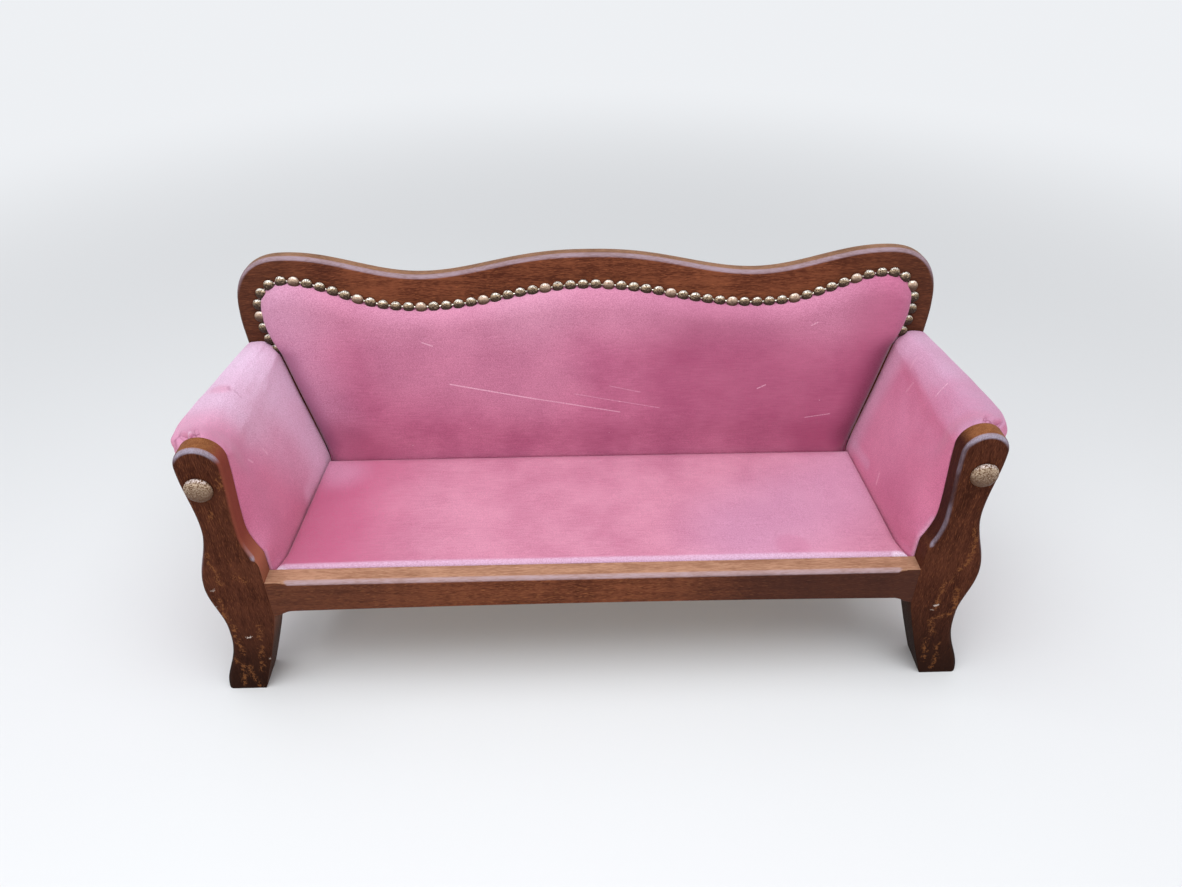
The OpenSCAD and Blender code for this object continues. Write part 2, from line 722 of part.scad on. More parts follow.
eyelet_t = 0.5;
nail_shank_r = 1;
nail_shank_l = board_t * 0.66;
neck_wide = 2.6;

// A cap of a ball on a round base, proud towards the front
module cap(d, h) {
    ball = (d * d / 4 + h * h) / (2 * h);
    rotate([90, 0, 0]) intersection() {
        translate([0, 0, h - ball]) sphere(r = ball, $fn = 48);
        cylinder(h = h + 1, r = d / 2, $fn = 48);
    }
}

module nail_strip() {
    color("#8a7440") on_board() translate([0, -velvet_t, 0]) {
        for (k = [0:nail_count - 1]) translate([nail_at[k][0], 0, nail_at[k][1]])
            if (is_real_nail(k)) rotate([90, 0, 0]) difference() {
                cylinder(h = eyelet_t, r = head_d * 0.45, $fn = 32);
                translate([0, 0, -1]) cylinder(h = eyelet_t + 2, r = nail_shank_r + 0.05, $fn = 24);
            }
            else cap(head_d, head_h);
        for (k = [0:nail_count - 2]) let (a = nail_at[k], b = nail_at[k + 1], d = b - a)
            translate([(a[0] + b[0]) / 2, 0, (a[1] + b[1]) / 2])
                rotate([0, -atan2(d[1], d[0]), 0])
                    translate([-pitch * 0.2, -eyelet_t, -neck_wide / 2])
                        cube([pitch * 0.4, eyelet_t, neck_wide]);
    }
}
module strip_nails() {
    color("#b0763f") on_board() for (k = [0:nail_count - 1]) if (is_real_nail(k))
        translate([nail_at[k][0], -velvet_t - eyelet_t, nail_at[k][1]]) {
            cap(head_d + 0.4, head_h);
            rotate([-90, 0, 0]) cylinder(h = nail_shank_l, r = nail_shank_r, $fn = 24);
        }
}

dome_shank_r = 1.6;
dome_shank_l = 16;
module dome_nails() {
    color("#8a7440") for (s = [-1, 1]) side(s)
        translate([foot_x - dome_in, front_y, dome_z]) {
            cap(dome_d, dome_proud);
            rotate([-90, 0, 0]) cylinder(h = dome_shank_l, r = dome_shank_r, $fn = 24);
        }
}

// Arm form: a section at each place from the stump (0) to the back (1)
arm_tuck_z = block_top + 2;
swell_at = 0.18;
tuck_at = 0.065;
function roll(t) = sqrt(max(0, 1 - pow(1 - clamp01(t), 2)));
arm_soft_front = 15;
arm_soft_back = 9;
arm_edge_front = 8;
arm_edge_back = 5;
function arm_key(t) =
    let (
        full = ease(clamp01(t / swell_at)),
        along_t = clamp01((t - swell_at) / (1 - swell_at)),
        inner = mix(lap_front, lap_back, t),
        top_in = mix(head_x - head_r - 1.2, mix(arm_top_front, arm_top_back, along_t), full),
        out = mix(head_x + head_r + 1.2, mix(arm_out_front, arm_out_back, pow(along_t, 1.3)),
            ease(clamp01(t / swell_at * 2))),
        high = mix(head_z + head_r - 1, mix(arm_h_front, arm_h_back, along_t), full),
        soft = mix(head_r * 0.9, mix(arm_soft_front, arm_soft_back, along_t), full),
        edge = mix(head_r * 0.9, mix(arm_edge_front, arm_edge_back, along_t), full),
        rise = high - rail_top,
        skirt_z = arm_rail_line(mix(stump_y, back_y, t)) - arm_rail_h * skirt_share,
        skirt = mix(leg_out(skirt_z), arm_rail_in + arm_rail_t + velvet_t,
            ease(clamp01((t - pad_from) / swell_at))),
        free = ease(clamp01(t / tuck_at))
    ) [
        [mix(leg_in(arm_tuck_z) - velvet_t - touch_gap, inner, free), arm_tuck_z],
        [mix(leg_in(rail_top) - velvet_t - touch_gap, inner, free), rail_top - 2],
        [mix(inner, top_in, 0.27), rail_top + rise * 0.25],
        [mix(inner, top_in, 0.62), rail_top + rise * 0.55],
        [mix(inner, top_in, 0.93), high - soft * 1.9],
        [top_in + soft * 0.12, high - soft * 0.8],
        [top_in + soft * 0.75, high - soft * 0.14],
        [(top_in + out) / 2, high],
        [out - edge * 0.75, high - edge * 0.2],
        [out - edge * 0.06, high - edge * 0.95],
        [out - soft * 0.15, high - soft * 1.7],
        [mix(out, skirt, 0.85), skirt_z + 6],
        [skirt, skirt_z]
    ];

// A smooth curve through key points
smooth_steps = 2;
function spline(p, steps) = let (n = len(p)) concat([
    for (i = [0:n - 2]) for (k = [0:steps - 1])
        let (
            a = p[max(i - 1, 0)],
            b = p[i],
            c = p[i + 1],
            d = p[min(i + 2, n - 1)],
            t = k / steps
        ) (2 * b + (c - a) * t + (2 * a - 5 * b + 4 * c - d) * t * t
            + (3 * b - a - 3 * c + d) * t * t * t) / 2
], [p[n - 1]]);

// One row of the arm's surface, moved inwards by a depth
function arm_end_gap(z) = velvet_t + touch_gap
    + (head_h + touch_gap) * ease(clamp01((z - post_top + head_h * 6) / (head_h * 6)));
arm_rows = 8;
row_crowd = 1.3;
function pad_share(t) = lookup(t * 12, [[9, 1], [10, 0.6], [11, 0.12], [12, 0]]);
// Inner face of the arm at a place, drawn along the leg's edge where it meets the leg
function beside_leg(p, t) =
    let (
        up = clamp01((p[1] - rail_top) / (neck_z - rail_top)),
        edge = leg_in(p[1]) - mix(velvet_t + touch_gap, velvet_t / 2, up)
    )
    p[1] < rail_top || p[1] > head_z ? p : [mix(edge, p[0], ease(clamp01(t / tuck_at))), p[1]];
function arm_row(t, velvet, pad) =
    let (
        smooth = spline(arm_key(t), smooth_steps),
        n = len(smooth),
        curve = [for (i = [0:n - 1]) i <= web_cols + 1 ? beside_leg(smooth[i], t) : smooth[i]]
    ) [for (i = [0:n - 1])
        let (
            a = curve[max(i - 1, 0)],
            b = curve[min(i + 1, n - 1)],
            p = curve[i] - left_of(unit(b - a)) * (velvet + pad * pad_share(i / (n - 1))),
            z = i == 0 ? curve[0][1] : i == n - 1 ? curve[n - 1][1] : p[1]
        ) [p[0], mix(stump_y + touch_gap, plane_y(z) - arm_end_gap(z), t), z]
    ];
function arm_grid(t0, velvet, pad = 0) =
    [for (i = [0:arm_rows]) arm_row(mix(t0, 1, pow(i / arm_rows, row_crowd)), velvet, pad)];
function part_of(grid, n) = [for (r = grid) [for (j = [0:n]) r[j]]];
pad_from = (leg_back_y + touch_gap - stump_y) / (back_y - stump_y);
web_cols = 4 * smooth_steps;
pad_cols = 11 * smooth_steps;

module arm_cover(s) side(s) slab(arm_grid(0, 0), arm_grid(0, velvet_t));
module arm_pad(s) side(s) slab(
    part_of(arm_grid(pad_from, velvet_t + touch_gap), pad_cols),
    part_of(arm_grid(pad_from, velvet_t, arm_pad_t), pad_cols)
);
module arm_web(s) side(s) slab(
    part_of(arm_grid(pad_from, velvet_t, arm_pad_t), web_cols),
    part_of(arm_grid(pad_from, velvet_t, arm_pad_t + web_t), web_cols)
);
module arm_cover_left() color("#c06a8c") arm_cover(-1);
module arm_cover_right() color("#c06a8c") arm_cover(1);
module arm_pad_left() color("#e8dcc0") arm_pad(-1);
module arm_pad_right() color("#e8dcc0") arm_pad(1);
module arm_web_left() color("#a08058") arm_web(-1);
module arm_web_right() color("#a08058") arm_web(1);

// Outside of an arm: velvet from the arm rail down to the side rail
module outside_arm(s) {
    function deep(z, i) = mix(leg_back_y + touch_gap, plane_y(z) - touch_gap, i / 4);
    function low_row(z, grow) = [for (i = [0:4])
        let (y = deep(z, i)) [side_in(y) + side_t + glue_gap + grow, y, z]];
    function high_row(drop, grow) = [for (i = [0:4])
        let (y = deep(arm_rail_back_z - drop, i))
            [arm_rail_in + arm_rail_t + grow, y, arm_rail_line(y) - drop]];
    function sheet(grow) = [
        low_row(rail_low + 1, grow),
        low_row(rail_low + side_h - 1, grow),
        high_row(arm_rail_h, grow),
        high_row(arm_rail_h * skirt_share + touch_gap, grow)
    ];
    side(s) slab(sheet(velvet_t), sheet(0));
}
module outside_arm_left() color("#a85878") outside_arm(-1);
module outside_arm_right() color("#a85878") outside_arm(1);

// Inner face of the arm where it meets the back, as a half width at a board height
function arm_meet(h) = let (z = board_z(h), k = arm_key(1))
    z <= k[1][1] ? k[1][0] : lookup(z, [for (i = [1:5]) [k[i][1], k[i][0]]]);

// Back form: edge of the velvet, and how far it stands proud
cover_low = -14;
back_cols = 26;
back_rows_n = 13;
edge_w = 8;
corner_x = nail_ear_x + nail_turn * 0.66;
velvet_over = 3;
edge_h = nail_height(corner_x) + velvet_over;
side_drop = 16;
side_tuck = 11;
function velvet_top(x) = nail_height(min(x, corner_x)) + velvet_over;
function velvet_side(h) =
    let (turn_r = nail_turn + velvet_over, side_h = arm_top_h - side_drop)
    h > nail_turn_h ? nail_ear_x + turn_r * sqrt(max(0, 1 - pow((h - nail_turn_h) / turn_r, 2)))
    : h > side_h ? nail_side(h) + velvet_over
    : arm_meet(h) + min(side_tuck, nail_side(side_h) + velvet_over - arm_meet(side_h));
function pad_side(h) = h > arm_top_h - 6 ? velvet_side(h) - edge_w
    : min(arm_meet(h) - 1.2, velvet_side(h) - edge_w);
function proud(x, h, top) =
    let (
        side_d = pad_side(h) - abs(x),
        top_d = top - edge_w - h,
        low_d = h - cover_low,
        full = mix(back_proud, back_crown, ease(clamp01(h / 50))),
        shape = roll(side_d / back_roll) * roll(top_d / back_roll) * roll(low_d / 6)
    ) velvet_t + max(0, (full - velvet_t) * shape);

// One place on the back: the last row and the outer columns are the flat edge of the velvet
function crowd(t) = t - 0.1 * sin(360 * t);
function back_point(i, j, depth_in) =
    let (
        v = crowd(min(1, i / (back_rows_n - 1))),
        u = crowd(clamp01((j - 1) / (back_cols - 2))) * 2 - 1,
        flat = i == back_rows_n ? 0 : edge_w,
        side_h = mix(cover_low, edge_h - flat, v),
        x = j == 0 ? -velvet_side(side_h) : j == back_cols ? velvet_side(side_h)
            : u * pad_side(side_h),
        top = velvet_top(abs(x)),
        h = mix(cover_low, top - flat, v)
    ) [x, -max(proud(x, h, top) - depth_in, 0), h];
function back_grid(depth_in) = [for (i = [0:back_rows_n]) [for (j = [0:back_cols])
    back_point(i, j, depth_in)]];
function pad_part(grid) = [for (i = [1:back_rows_n - 3]) [for (j = [4:back_cols - 4]) grid[i][j]]];
function flat_at(grid, y) = [for (r = grid) [for (p = r) [p[0], y, p[2]]]];

module back_cover() {
    color("#c06a8c") on_board() slab(back_grid(0), back_grid(velvet_t));
}
module back_pad() {
    grid = pad_part(back_grid(velvet_t + touch_gap));
    color("#e8dcc0") on_board() slab(grid, flat_at(grid, -panel_t));
}
module back_panel() {
    rim = pad_part(back_grid(0));
    rows = len(rim) - 1;
    cols = len(rim[0]) - 1;
    color("#a08058") on_board() front_view(-panel_t, 0) polygon(concat(
        [for (i = [0:rows]) [rim[i][cols][0], rim[i][cols][2]]],
        [for (j = [cols - 1:-1:0]) [rim[rows][j][0], rim[rows][j][2]]],
        [for (i = [rows - 1:-1:0]) [rim[i][0][0], rim[i][0][2]]]
    ));
}

// Cloth over the back of the frame, with its tacks
cloth_half = post_in + post_w * 0.55;
cloth_low = back_rail_low + 6;
cloth_top = crest_low + stay_h * 1.2;
tack_x = 10;
module outside_back_cloth() {
    color("#5c5148") on_board() translate([-cloth_half, board_t, cloth_low])
        cube([2 * cloth_half, velvet_t, cloth_top - cloth_low]);
}
module tack() {
    rotate([-90, 0, 0]) {
        cylinder(h = 1, r1 = 3, r2 = 2, $fn = 24);
        translate([0, 0, -8]) cylinder(h = 8 + eps, r = 0.8, $fn = 24);
    }
}
module back_tacks() {
    color("#3c3c40") on_board() translate([0, board_t + velvet_t, 0]) {
        for (i = [0:tack_x]) let (x = mix(-cloth_half + 8, cloth_half - 8, i / tack_x))
            for (h = [cloth_low + 8, cloth_top - 8]) translate([x, 0, h]) tack();
        for (s = [-1, 1]) for (i = [1:3])
            translate([s * (cloth_half - 8), 0, mix(cloth_low + 8, cloth_top - 8, i / 4)]) tack();
    }
}

// Drop-in seat: plan of its edge, moved inwards by a distance
seat_front_y = rail_back_y + seat_play * 0.6;
seat_back_y = back_y - back_proud / cos(rake) - seat_play;
function lap(y) = mix(lap_front, lap_back, (y - stump_y) / (back_y - stump_y));
function seat_plan(d) =
    let (
        y0 = seat_front_y + d,
        y1 = seat_back_y - d,
        x0 = lap(y0) - seat_play - d,
        x1 = lap(y1) - seat_play - d
    ) [[-x0, y0], [x0, y0], [x1, y1], [-x1, y1]];
seat_cols = 16;
seat_rows = 9;
seat_roll = 9;
seat_drop = 5;
function seat_point(u, v, in) =
    let (
        y0 = seat_front_y + in,
        y1 = seat_back_y - in,
        y = mix(y0, y1, v),
        half = lap(y) - seat_play - in,
        x = half * u,
        near = min(min(half - abs(x), y - y0), y1 - y),
        dome = (seat_top_z - seat_edge_z) * (1 - pow(abs(u), 3)) * sin(180 * v),
        edge = seat_edge_z - seat_drop * (1 - roll(near / seat_roll))
    ) [x, y, edge + dome - in];
function seat_grid(in) = [for (i = [0:seat_rows]) [for (j = [0:seat_cols])
    seat_point(crowd(j / seat_cols) * 2 - 1, crowd(i / seat_rows), in)]];
function lifted(grid, z) = [for (r = grid) [for (p = r) [p[0], p[1], z]]];

module seat_board() {
    color("#b08a58") translate([0, 0, seat_low]) linear_extrude(seat_board_t)
        polygon(seat_plan(velvet_t + glue_gap));
}
module seat_pad() {
    grid = seat_grid(velvet_t + glue_gap);
    color("#e8dcc0") slab(grid, lifted(grid, seat_low + seat_board_t));
}
module seat_cover() {
    color("#c8789a") pocket(seat_grid(0), seat_grid(velvet_t), [
        rim_at(seat_grid(0), seat_low - velvet_t),
        rim_at(seat_grid(turn_under), seat_low - velvet_t),
        rim_at(seat_grid(turn_under), seat_low),
        rim_at(seat_grid(velvet_t), seat_low)
    ]);
}
staple_w = 9;
staple_d = 0.8;
module staple() {
    translate([-staple_w / 2, -staple_d / 2, 0]) cube([staple_w, staple_d, staple_d]);
    for (s = [-1, 1]) translate([s * (staple_w - staple_d) / 2 - staple_d / 2, -staple_d / 2, 0])
        cube([staple_d, staple_d, 5]);
}
module seat_staples() {
    z = seat_low - velvet_t + 0.2;
    in = turn_under * 0.5;
    long_n = 11;
    short_n = 3;
    color("#a8a8ac") {
        for (i = [0:long_n - 1]) let (x = mix(-0.9, 0.9, i / (long_n - 1)) * (lap_back - in)) {
            translate([x, seat_front_y + in, z]) staple();
            translate([x, seat_back_y - in, z]) staple();
        }
        for (s = [-1, 1]) for (i = [1:short_n])
            let (y = mix(seat_front_y, seat_back_y, i / (short_n + 1)))
                translate([s * (lap(y) - seat_play - in), y, z]) rotate(90) staple();
    }
}

front_leg_left();
front_leg_right();
front_rail();
side_rail_left();
side_rail_right();
back_leg_left();
back_leg_right();
back_rail();
stay_rail();
crest_board();
arm_rail_left();
arm_rail_right();
seat_ledgers();
cross_bearer();
corner_blocks();
block_screws();
rail_dowels();
crest_dowels();
back_panel();
back_pad();
back_cover();
nail_strip();
strip_nails();
outside_back_cloth();
back_tacks();
arm_web_left();
arm_web_right();
arm_pad_left();
arm_pad_right();
arm_cover_left();
arm_cover_right();
outside_arm_left();
outside_arm_right();
dome_nails();
seat_board();
seat_pad();
seat_cover();
seat_staples();
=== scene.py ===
import math

import bmesh
import bpy
from mathutils import Matrix, Vector, noise


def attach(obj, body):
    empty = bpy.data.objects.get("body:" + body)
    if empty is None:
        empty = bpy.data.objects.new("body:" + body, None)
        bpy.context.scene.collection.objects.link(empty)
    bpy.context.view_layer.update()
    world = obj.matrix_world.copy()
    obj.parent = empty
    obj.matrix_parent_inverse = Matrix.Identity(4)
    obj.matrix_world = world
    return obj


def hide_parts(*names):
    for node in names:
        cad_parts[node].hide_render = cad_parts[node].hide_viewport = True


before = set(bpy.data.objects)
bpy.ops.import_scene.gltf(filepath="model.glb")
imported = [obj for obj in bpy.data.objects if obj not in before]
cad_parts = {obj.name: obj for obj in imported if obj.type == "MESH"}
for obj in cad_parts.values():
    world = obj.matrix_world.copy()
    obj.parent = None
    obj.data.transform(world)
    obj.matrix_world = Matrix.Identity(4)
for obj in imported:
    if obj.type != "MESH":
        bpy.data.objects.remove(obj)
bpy.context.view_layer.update()  # bodies, nodes, joints, record

# Camera, floor and light
# The camera stands a step in front of the sofa and looks down on it, a little off its middle.
# A wide soft lamp hangs above and in front, as daylight from a high window does.
yaw, pitch, roll, camera_place = 0.023, 0.6283, -0.005, (-0.01634, -0.70801, 0.72039)
sensor_w, focal_px, frame_px = 36, 889.4, 1182
scene = bpy.context.scene
camera_data = bpy.data.cameras.new("camera")
camera_data.sensor_width = sensor_w
camera_data.lens = sensor_w * focal_px / frame_px
camera = bpy.data.objects.new("camera", camera_data)
ahead = Vector((math.sin(yaw) * math.cos(pitch), math.cos(yaw) * math.cos(pitch), -math.sin(pitch)))
level = Vector((math.cos(yaw), -math.sin(yaw), 0))
upright = level.cross(ahead)
right = math.cos(roll) * level + math.sin(roll) * upright
up = -math.sin(roll) * level + math.cos(roll) * upright
camera.matrix_world = Matrix.Translation(camera_place) @ \
    Matrix((right, up, -ahead)).transposed().to_4x4()
scene.collection.objects.link(camera)
scene.camera = camera
scene.view_settings.view_transform = "Standard"


def srgb(r, g, b):
    """A screen colour, 0 to 255, as the linear colour of a shader"""
    return tuple((c / 3294.6 if c < 10.3 else ((c / 255 + 0.055) / 1.055) ** 2.4)
                 for c in (r, g, b)) + (1,)


def fill(tree, made, inputs):
    """Sets or links inputs of a node"""
    for key, value in inputs.items():
        if isinstance(value, bpy.types.NodeSocket):
            tree.links.new(value, made.inputs[key])
        else:
            made.inputs[key].default_value = value


def node(tree, kind, inputs=None, **settings):
    """One shader node, with its settings and its inputs given or linked"""
    made = tree.nodes.new(kind if kind.startswith("NodeGroup") else "ShaderNode" + kind)
    for key, value in settings.items():
        setattr(made, key, value)
    fill(tree, made, inputs or {})
    return made


def maths(tree, operation, a, b=0.5, c=0.5):
    return node(tree, "Math", {0: a, 1: b, 2: c}, operation=operation).outputs[0]


def times(tree, a, b):
    return maths(tree, "MULTIPLY", a, b)


def ranged(tree, value, low, high, to_low=0.0, to_high=1.0, way="SMOOTHSTEP"):
    """A value spread between two levels"""
    return node(tree, "MapRange", {"Value": value, "From Min": low, "From Max": high, "To Min": to_low,
                                   "To Max": to_high}, interpolation_type=way).outputs[0]


def vectors(tree, operation, *inputs, key=0):
    return node(tree, "VectorMath", dict(enumerate(inputs)), operation=operation).outputs[key]


def object_place(tree):
    return node(tree, "TexCoord").outputs["Object"]


def new_finish(name):
    """A material with a bare Principled BSDF, and its tree"""
    finish = bpy.data.materials.new(name)
    finish.use_nodes = True
    return finish, finish.node_tree, finish.node_tree.nodes["Principled BSDF"]


def seen_rays(tree):
    """1 for rays from the camera, or by way of a gloss or through glass"""
    rays = node(tree, "LightPath").outputs
    seen = maths(tree, "MAXIMUM", rays["Is Camera Ray"], rays["Is Glossy Ray"])
    return maths(tree, "MAXIMUM", seen, rays["Is Transmission Ray"])


STUDIO_PALE, STUDIO_LEVEL = (0.95, 0.97, 1, 1), 0.9
floor_finish, tree, shader = new_finish("pale_floor")
fill(tree, shader, {"Base Color": srgb(226, 226, 226), "Roughness": 0.9, "Specular IOR Level": 0.1})
# The floor keeps the shadow near the sofa and turns into the pale studio further out
distance = vectors(tree, "LENGTH", object_place(tree), key="Value")
far = times(tree, ranged(tree, distance, 0.6, 2.2), seen_rays(tree))
pale = node(tree, "Emission", {"Color": STUDIO_PALE, "Strength": STUDIO_LEVEL})
blend = node(tree, "MixShader", {0: far, 1: shader.outputs[0], 2: pale.outputs[0]})
tree.links.new(blend.outputs[0], tree.nodes["Material Output"].inputs["Surface"])
floor_mesh, floor_half = bpy.data.meshes.new("floor"), 4
floor_mesh.from_pydata([(x * floor_half, y * floor_half, 0)
                        for x, y in ((-1, -1), (1, -1), (1, 1), (-1, 1))], [], [(0, 1, 2, 3)])
floor_mesh.materials.append(floor_finish)
floor = bpy.data.objects.new("floor", floor_mesh)
scene.collection.objects.link(floor)

world = bpy.data.worlds.new("studio")
world.use_nodes = True
scene.world = world
tree = world.node_tree
LIGHT_LEVEL = 0.5
strength = ranged(tree, seen_rays(tree), 0, 1, LIGHT_LEVEL, STUDIO_LEVEL, "LINEAR")
fill(tree, tree.nodes["Background"], {"Color": STUDIO_PALE, "Strength": strength})


def lamp(name, place, aim, size, power, colour):
    data = bpy.data.lights.new(name, "AREA")
    data.shape = "RECTANGLE"
    data.size, data.size_y = size
    data.energy = power
    data.color = colour
    made = bpy.data.objects.new(name, data)
    made.location = place
    made.rotation_mode = "QUATERNION"
    made.rotation_quaternion = (Vector(aim) - Vector(place)).to_track_quat("-Z", "Y")
    scene.collection.objects.link(made)


lamp("high_window", (-0.1, -0.4, 1.75), (0, 0, 0.2), (2.2, 1.3), 30, (0.93, 0.96, 1.0))
lamp("front_fill", (-0.9, -1.7, 0.9), (0, 0, 0.2), (1.2, 0.9), 8, (1.0, 0.98, 0.95))
lamp("side_fill", (1.6, -1.0, 0.8), (0, 0, 0.2), (1.0, 0.8), 3.2, (1.0, 0.97, 0.94))

# Front legs
# Each leg is one plank 36 mm thick, sawn to an S curve with a round head, its front edges rounded
# over. Beech, stained dark; the lacquer has crackled down the outside of both legs.
MM = 0.001
SIDES = (-1, "left"), (1, "right")
width, depth = 733, 258
leg_t, stump_show, stump_step, leg_round = 36, 18, 7, 5
foot_w, foot_sweep, ankle_z, knee_swell, knee_z = 37.5, 18.5, 84, 9.2, 137
waist_draw, waist_z, neck_w, neck_z, shoulder_z = 6.4, 211, 32, 202, 167
head_r, head_z = 20, 275.5
outer_curl, inner_curl = 1.35, 1.15
rail_top, rail_h = 144.5, 43
front_y = -depth / 2 + 6.5
leg_back_y, stump_y = front_y + leg_t, front_y + stump_show
foot_x = width / 2
ankle_x = foot_x - foot_sweep
knee_x, waist_x, head_x, rail_x = ankle_x + knee_swell, ankle_x - waist_draw, foot_x - 39.5, foot_x - 66.5
rail_low = rail_top - rail_h


def ease(t):
    return (1 - math.cos(math.pi * t)) / 2


def mix(a, b, t):
    return a + (b - a) * t


def clamp(t, low=0.0, high=1.0):
    return max(low, min(high, t))


def leg_out(z):
    if z < ankle_z:
        return ankle_x + foot_sweep * ease(((ankle_z - z) / ankle_z) ** outer_curl)
    if z < knee_z:
        return mix(ankle_x, knee_x, ease((z - ankle_z) / (knee_z - ankle_z)))
    if z < waist_z:
        return mix(knee_x, waist_x, ease((z - knee_z) / (waist_z - knee_z)))
    return mix(waist_x, head_x + head_r, ease((z - waist_z) / (head_z - waist_z)))


def leg_in(z):
    if z < rail_low:
        return rail_x + (foot_x - foot_w - rail_x) * (1 - z / rail_low) ** inner_curl
    if z < shoulder_z:
        return rail_x
    if z < neck_z:
        return mix(rail_x, waist_x - neck_w, math.sin(math.pi / 2 * (z - shoulder_z) / (neck_z - shoulder_z)))
    return mix(waist_x - neck_w, head_x - head_r, ease((z - neck_z) / (head_z - neck_z)))


def round_point(x, z, r, degrees):
    return x + r * math.cos(math.radians(degrees)), z + r * math.sin(math.radians(degrees))


outer_steps, inner_steps, foot_steps = 90, 50, 30
leg_outline = [(leg_out(head_z * i / outer_steps), head_z * i / outer_steps) for i in range(outer_steps + 1)]
leg_outline += [round_point(head_x, head_z, head_r, a) for a in range(6, 180, 6)]
inner_from = len(leg_outline)
leg_outline += [(leg_in(z), z) for z in (mix(head_z, shoulder_z + 2, i / inner_steps)
                                         for i in range(inner_steps + 1))]
leg_outline += [(rail_x, z) for z in (shoulder_z - 2, shoulder_z - 6, 155, 150, rail_top)]
leg_outline += [(leg_in(z), z) for z in (rail_low * (1 - i / foot_steps) for i in range(foot_steps + 1))]


def inset(outline, d):
    """A closed outline moved inwards, by one distance or one for each point, with mitred corners;
    an edge on the floor stays there"""
    n, moved = len(outline), []
    normals, floors = [], []
    for i in range(n):
        (x0, z0), (x1, z1) = outline[i], outline[(i + 1) % n]
        run = math.hypot(x1 - x0, z1 - z0) or 1
        normals.append((-(z1 - z0) / run, (x1 - x0) / run))
        floors.append(z0 == z1 == 0)
    for i in range(n):
        (ax, az), (bx, bz) = normals[i - 1], normals[i]
        step = d[i] if isinstance(d, list) else d
        da, db = 0 if floors[i - 1] else step, 0 if floors[i] else step
        cross = ax * bz - az * bx
        if abs(cross) < 0.02:
            moved.append((outline[i][0] + (ax * da + bx * db) / 2,
                          outline[i][1] + (az * da + bz * db) / 2))
        else:
            moved.append((outline[i][0] + (da * bz - db * az) / cross,
                          outline[i][1] + (db * ax - da * bx) / cross))
    return moved


def edge_highlight_band(a):
    """How strongly the painted highlight lies on a rounded edge, at an angle from 0 to a quarter turn across
    it
    """
    return math.sin(2 * a) ** 0.4


def face_rings(outline, t, rounds, both):
    """Rings of points, and where the painted highlight lies on them, from the front face of a board round its
    edges
    """
    full, cap_in = max(rounds), 5
    turn = [(1 - math.sin(a), 1 - math.cos(a), edge_highlight_band(a)) for a in (math.pi / 12 * k for k in range(7))]
    steps = [(1, 0, 0, cap_in)] + [(d, y, e, 0) for d, y, e in turn]
    rings = []
    for d, y, e, more in steps:
        shape = inset(outline, [r * d + more for r in rounds])
        rings.append(([(x, r * y, z) for (x, z), r in zip(shape, rounds)], [e * r / full for r in rounds]))
    if both:
        rings += [([(x, t - y, z) for x, y, z in ring], painted_light) for ring, painted_light in reversed(rings)]
    else:
        rings.append(([(x, t, z) for x, z in outline], [0] * len(outline)))
    return rings


def ring_faces(count, n):
    """Faces between closed rings of n points each"""
    return [(k + i, k + (i + 1) % n, k + n + (i + 1) % n, k + n + i)
            for k in range(0, (count - 1) * n, n) for i in range(n)]


def skin(rings):
    """Points and faces of a closed solid through rings of equal length"""
    points, n = [p for ring in rings for p in ring], len(rings[0])
    ends = [tuple(range(n - 1, -1, -1)), tuple(range(len(points) - n, len(points)))]
    return points, ring_faces(len(rings), n) + ends


def ring_painted_light(rings):
    return [e for ring, painted_light in rings for e in painted_light]


def make_piece(name, points, faces, finish, body, slot, nodes=(), painted_light=None, sharp=40):
    """One piece from points in millimetres, on its body, in place of its CAD nodes"""
    mesh = bpy.data.meshes.new(name)
    mesh.from_pydata([Vector(p) * MM for p in points], [], faces)
    # The per-point mask marks where the finish paints a highlight on rounded edges and, on the arms, how deep
    # the pleats fold for painted shade
    if painted_light:
        mesh.attributes.new("painted_light", "FLOAT", "POINT").data.foreach_set("value", painted_light)
    shape = bmesh.new()
    shape.from_mesh(mesh)
    bmesh.ops.recalc_face_normals(shape, faces=shape.faces)
    shape.to_mesh(mesh)
    shape.free()
    mesh.shade_smooth()
    mesh.set_sharp_from_angle(angle=math.radians(sharp))
    mesh.materials.append(finish)
    piece = bpy.data.objects.new(name, mesh)
    scene.collection.objects.link(piece)
    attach(piece, body)
    if nodes:
        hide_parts(*nodes)
    return piece


def new_group(name, inputs, outputs):
    """An empty node group with named float, vector or colour sockets"""
    group = bpy.data.node_groups.new(name, "ShaderNodeTree")
    for label, kind, value in inputs:
        socket = group.interface.new_socket(name=label, in_out="INPUT", socket_type="NodeSocket" + kind)
        if value is not None:
            socket.default_value = value
    for label, kind in outputs:
        group.interface.new_socket(name=label, in_out="OUTPUT", socket_type="NodeSocket" + kind)
    return group, node(group, "NodeGroupInput").outputs, node(group, "NodeGroupOutput")


def tinted(tree, mask, a, b):
    """Colour a where the mask is 0 and b where it is 1, each a socket or its screen values"""
    a, b = (c if isinstance(c, bpy.types.NodeSocket) else srgb(*c) for c in (a, b))
    return node(tree, "Mix", {0: mask, 6: a, 7: b}, data_type="RGBA").outputs[2]


def xyz(tree, vector):
    return node(tree, "SeparateXYZ", {0: vector}).outputs


def facing_xyz(tree):
    return xyz(tree, node(tree, "NewGeometry").outputs["Normal"])


def mottled(tree, place, scale, detail=2, rough=0.5, key=0):
    return node(tree, "TexNoise", {"Vector": place, "Scale": scale, "Detail": detail,
                                   "Roughness": rough}).outputs[key]


def bumped(tree, height, strength, deep, **settings):
    return node(tree, "Bump", {"Height": height, "Strength": strength, "Distance": deep},
                **settings).outputs[0]


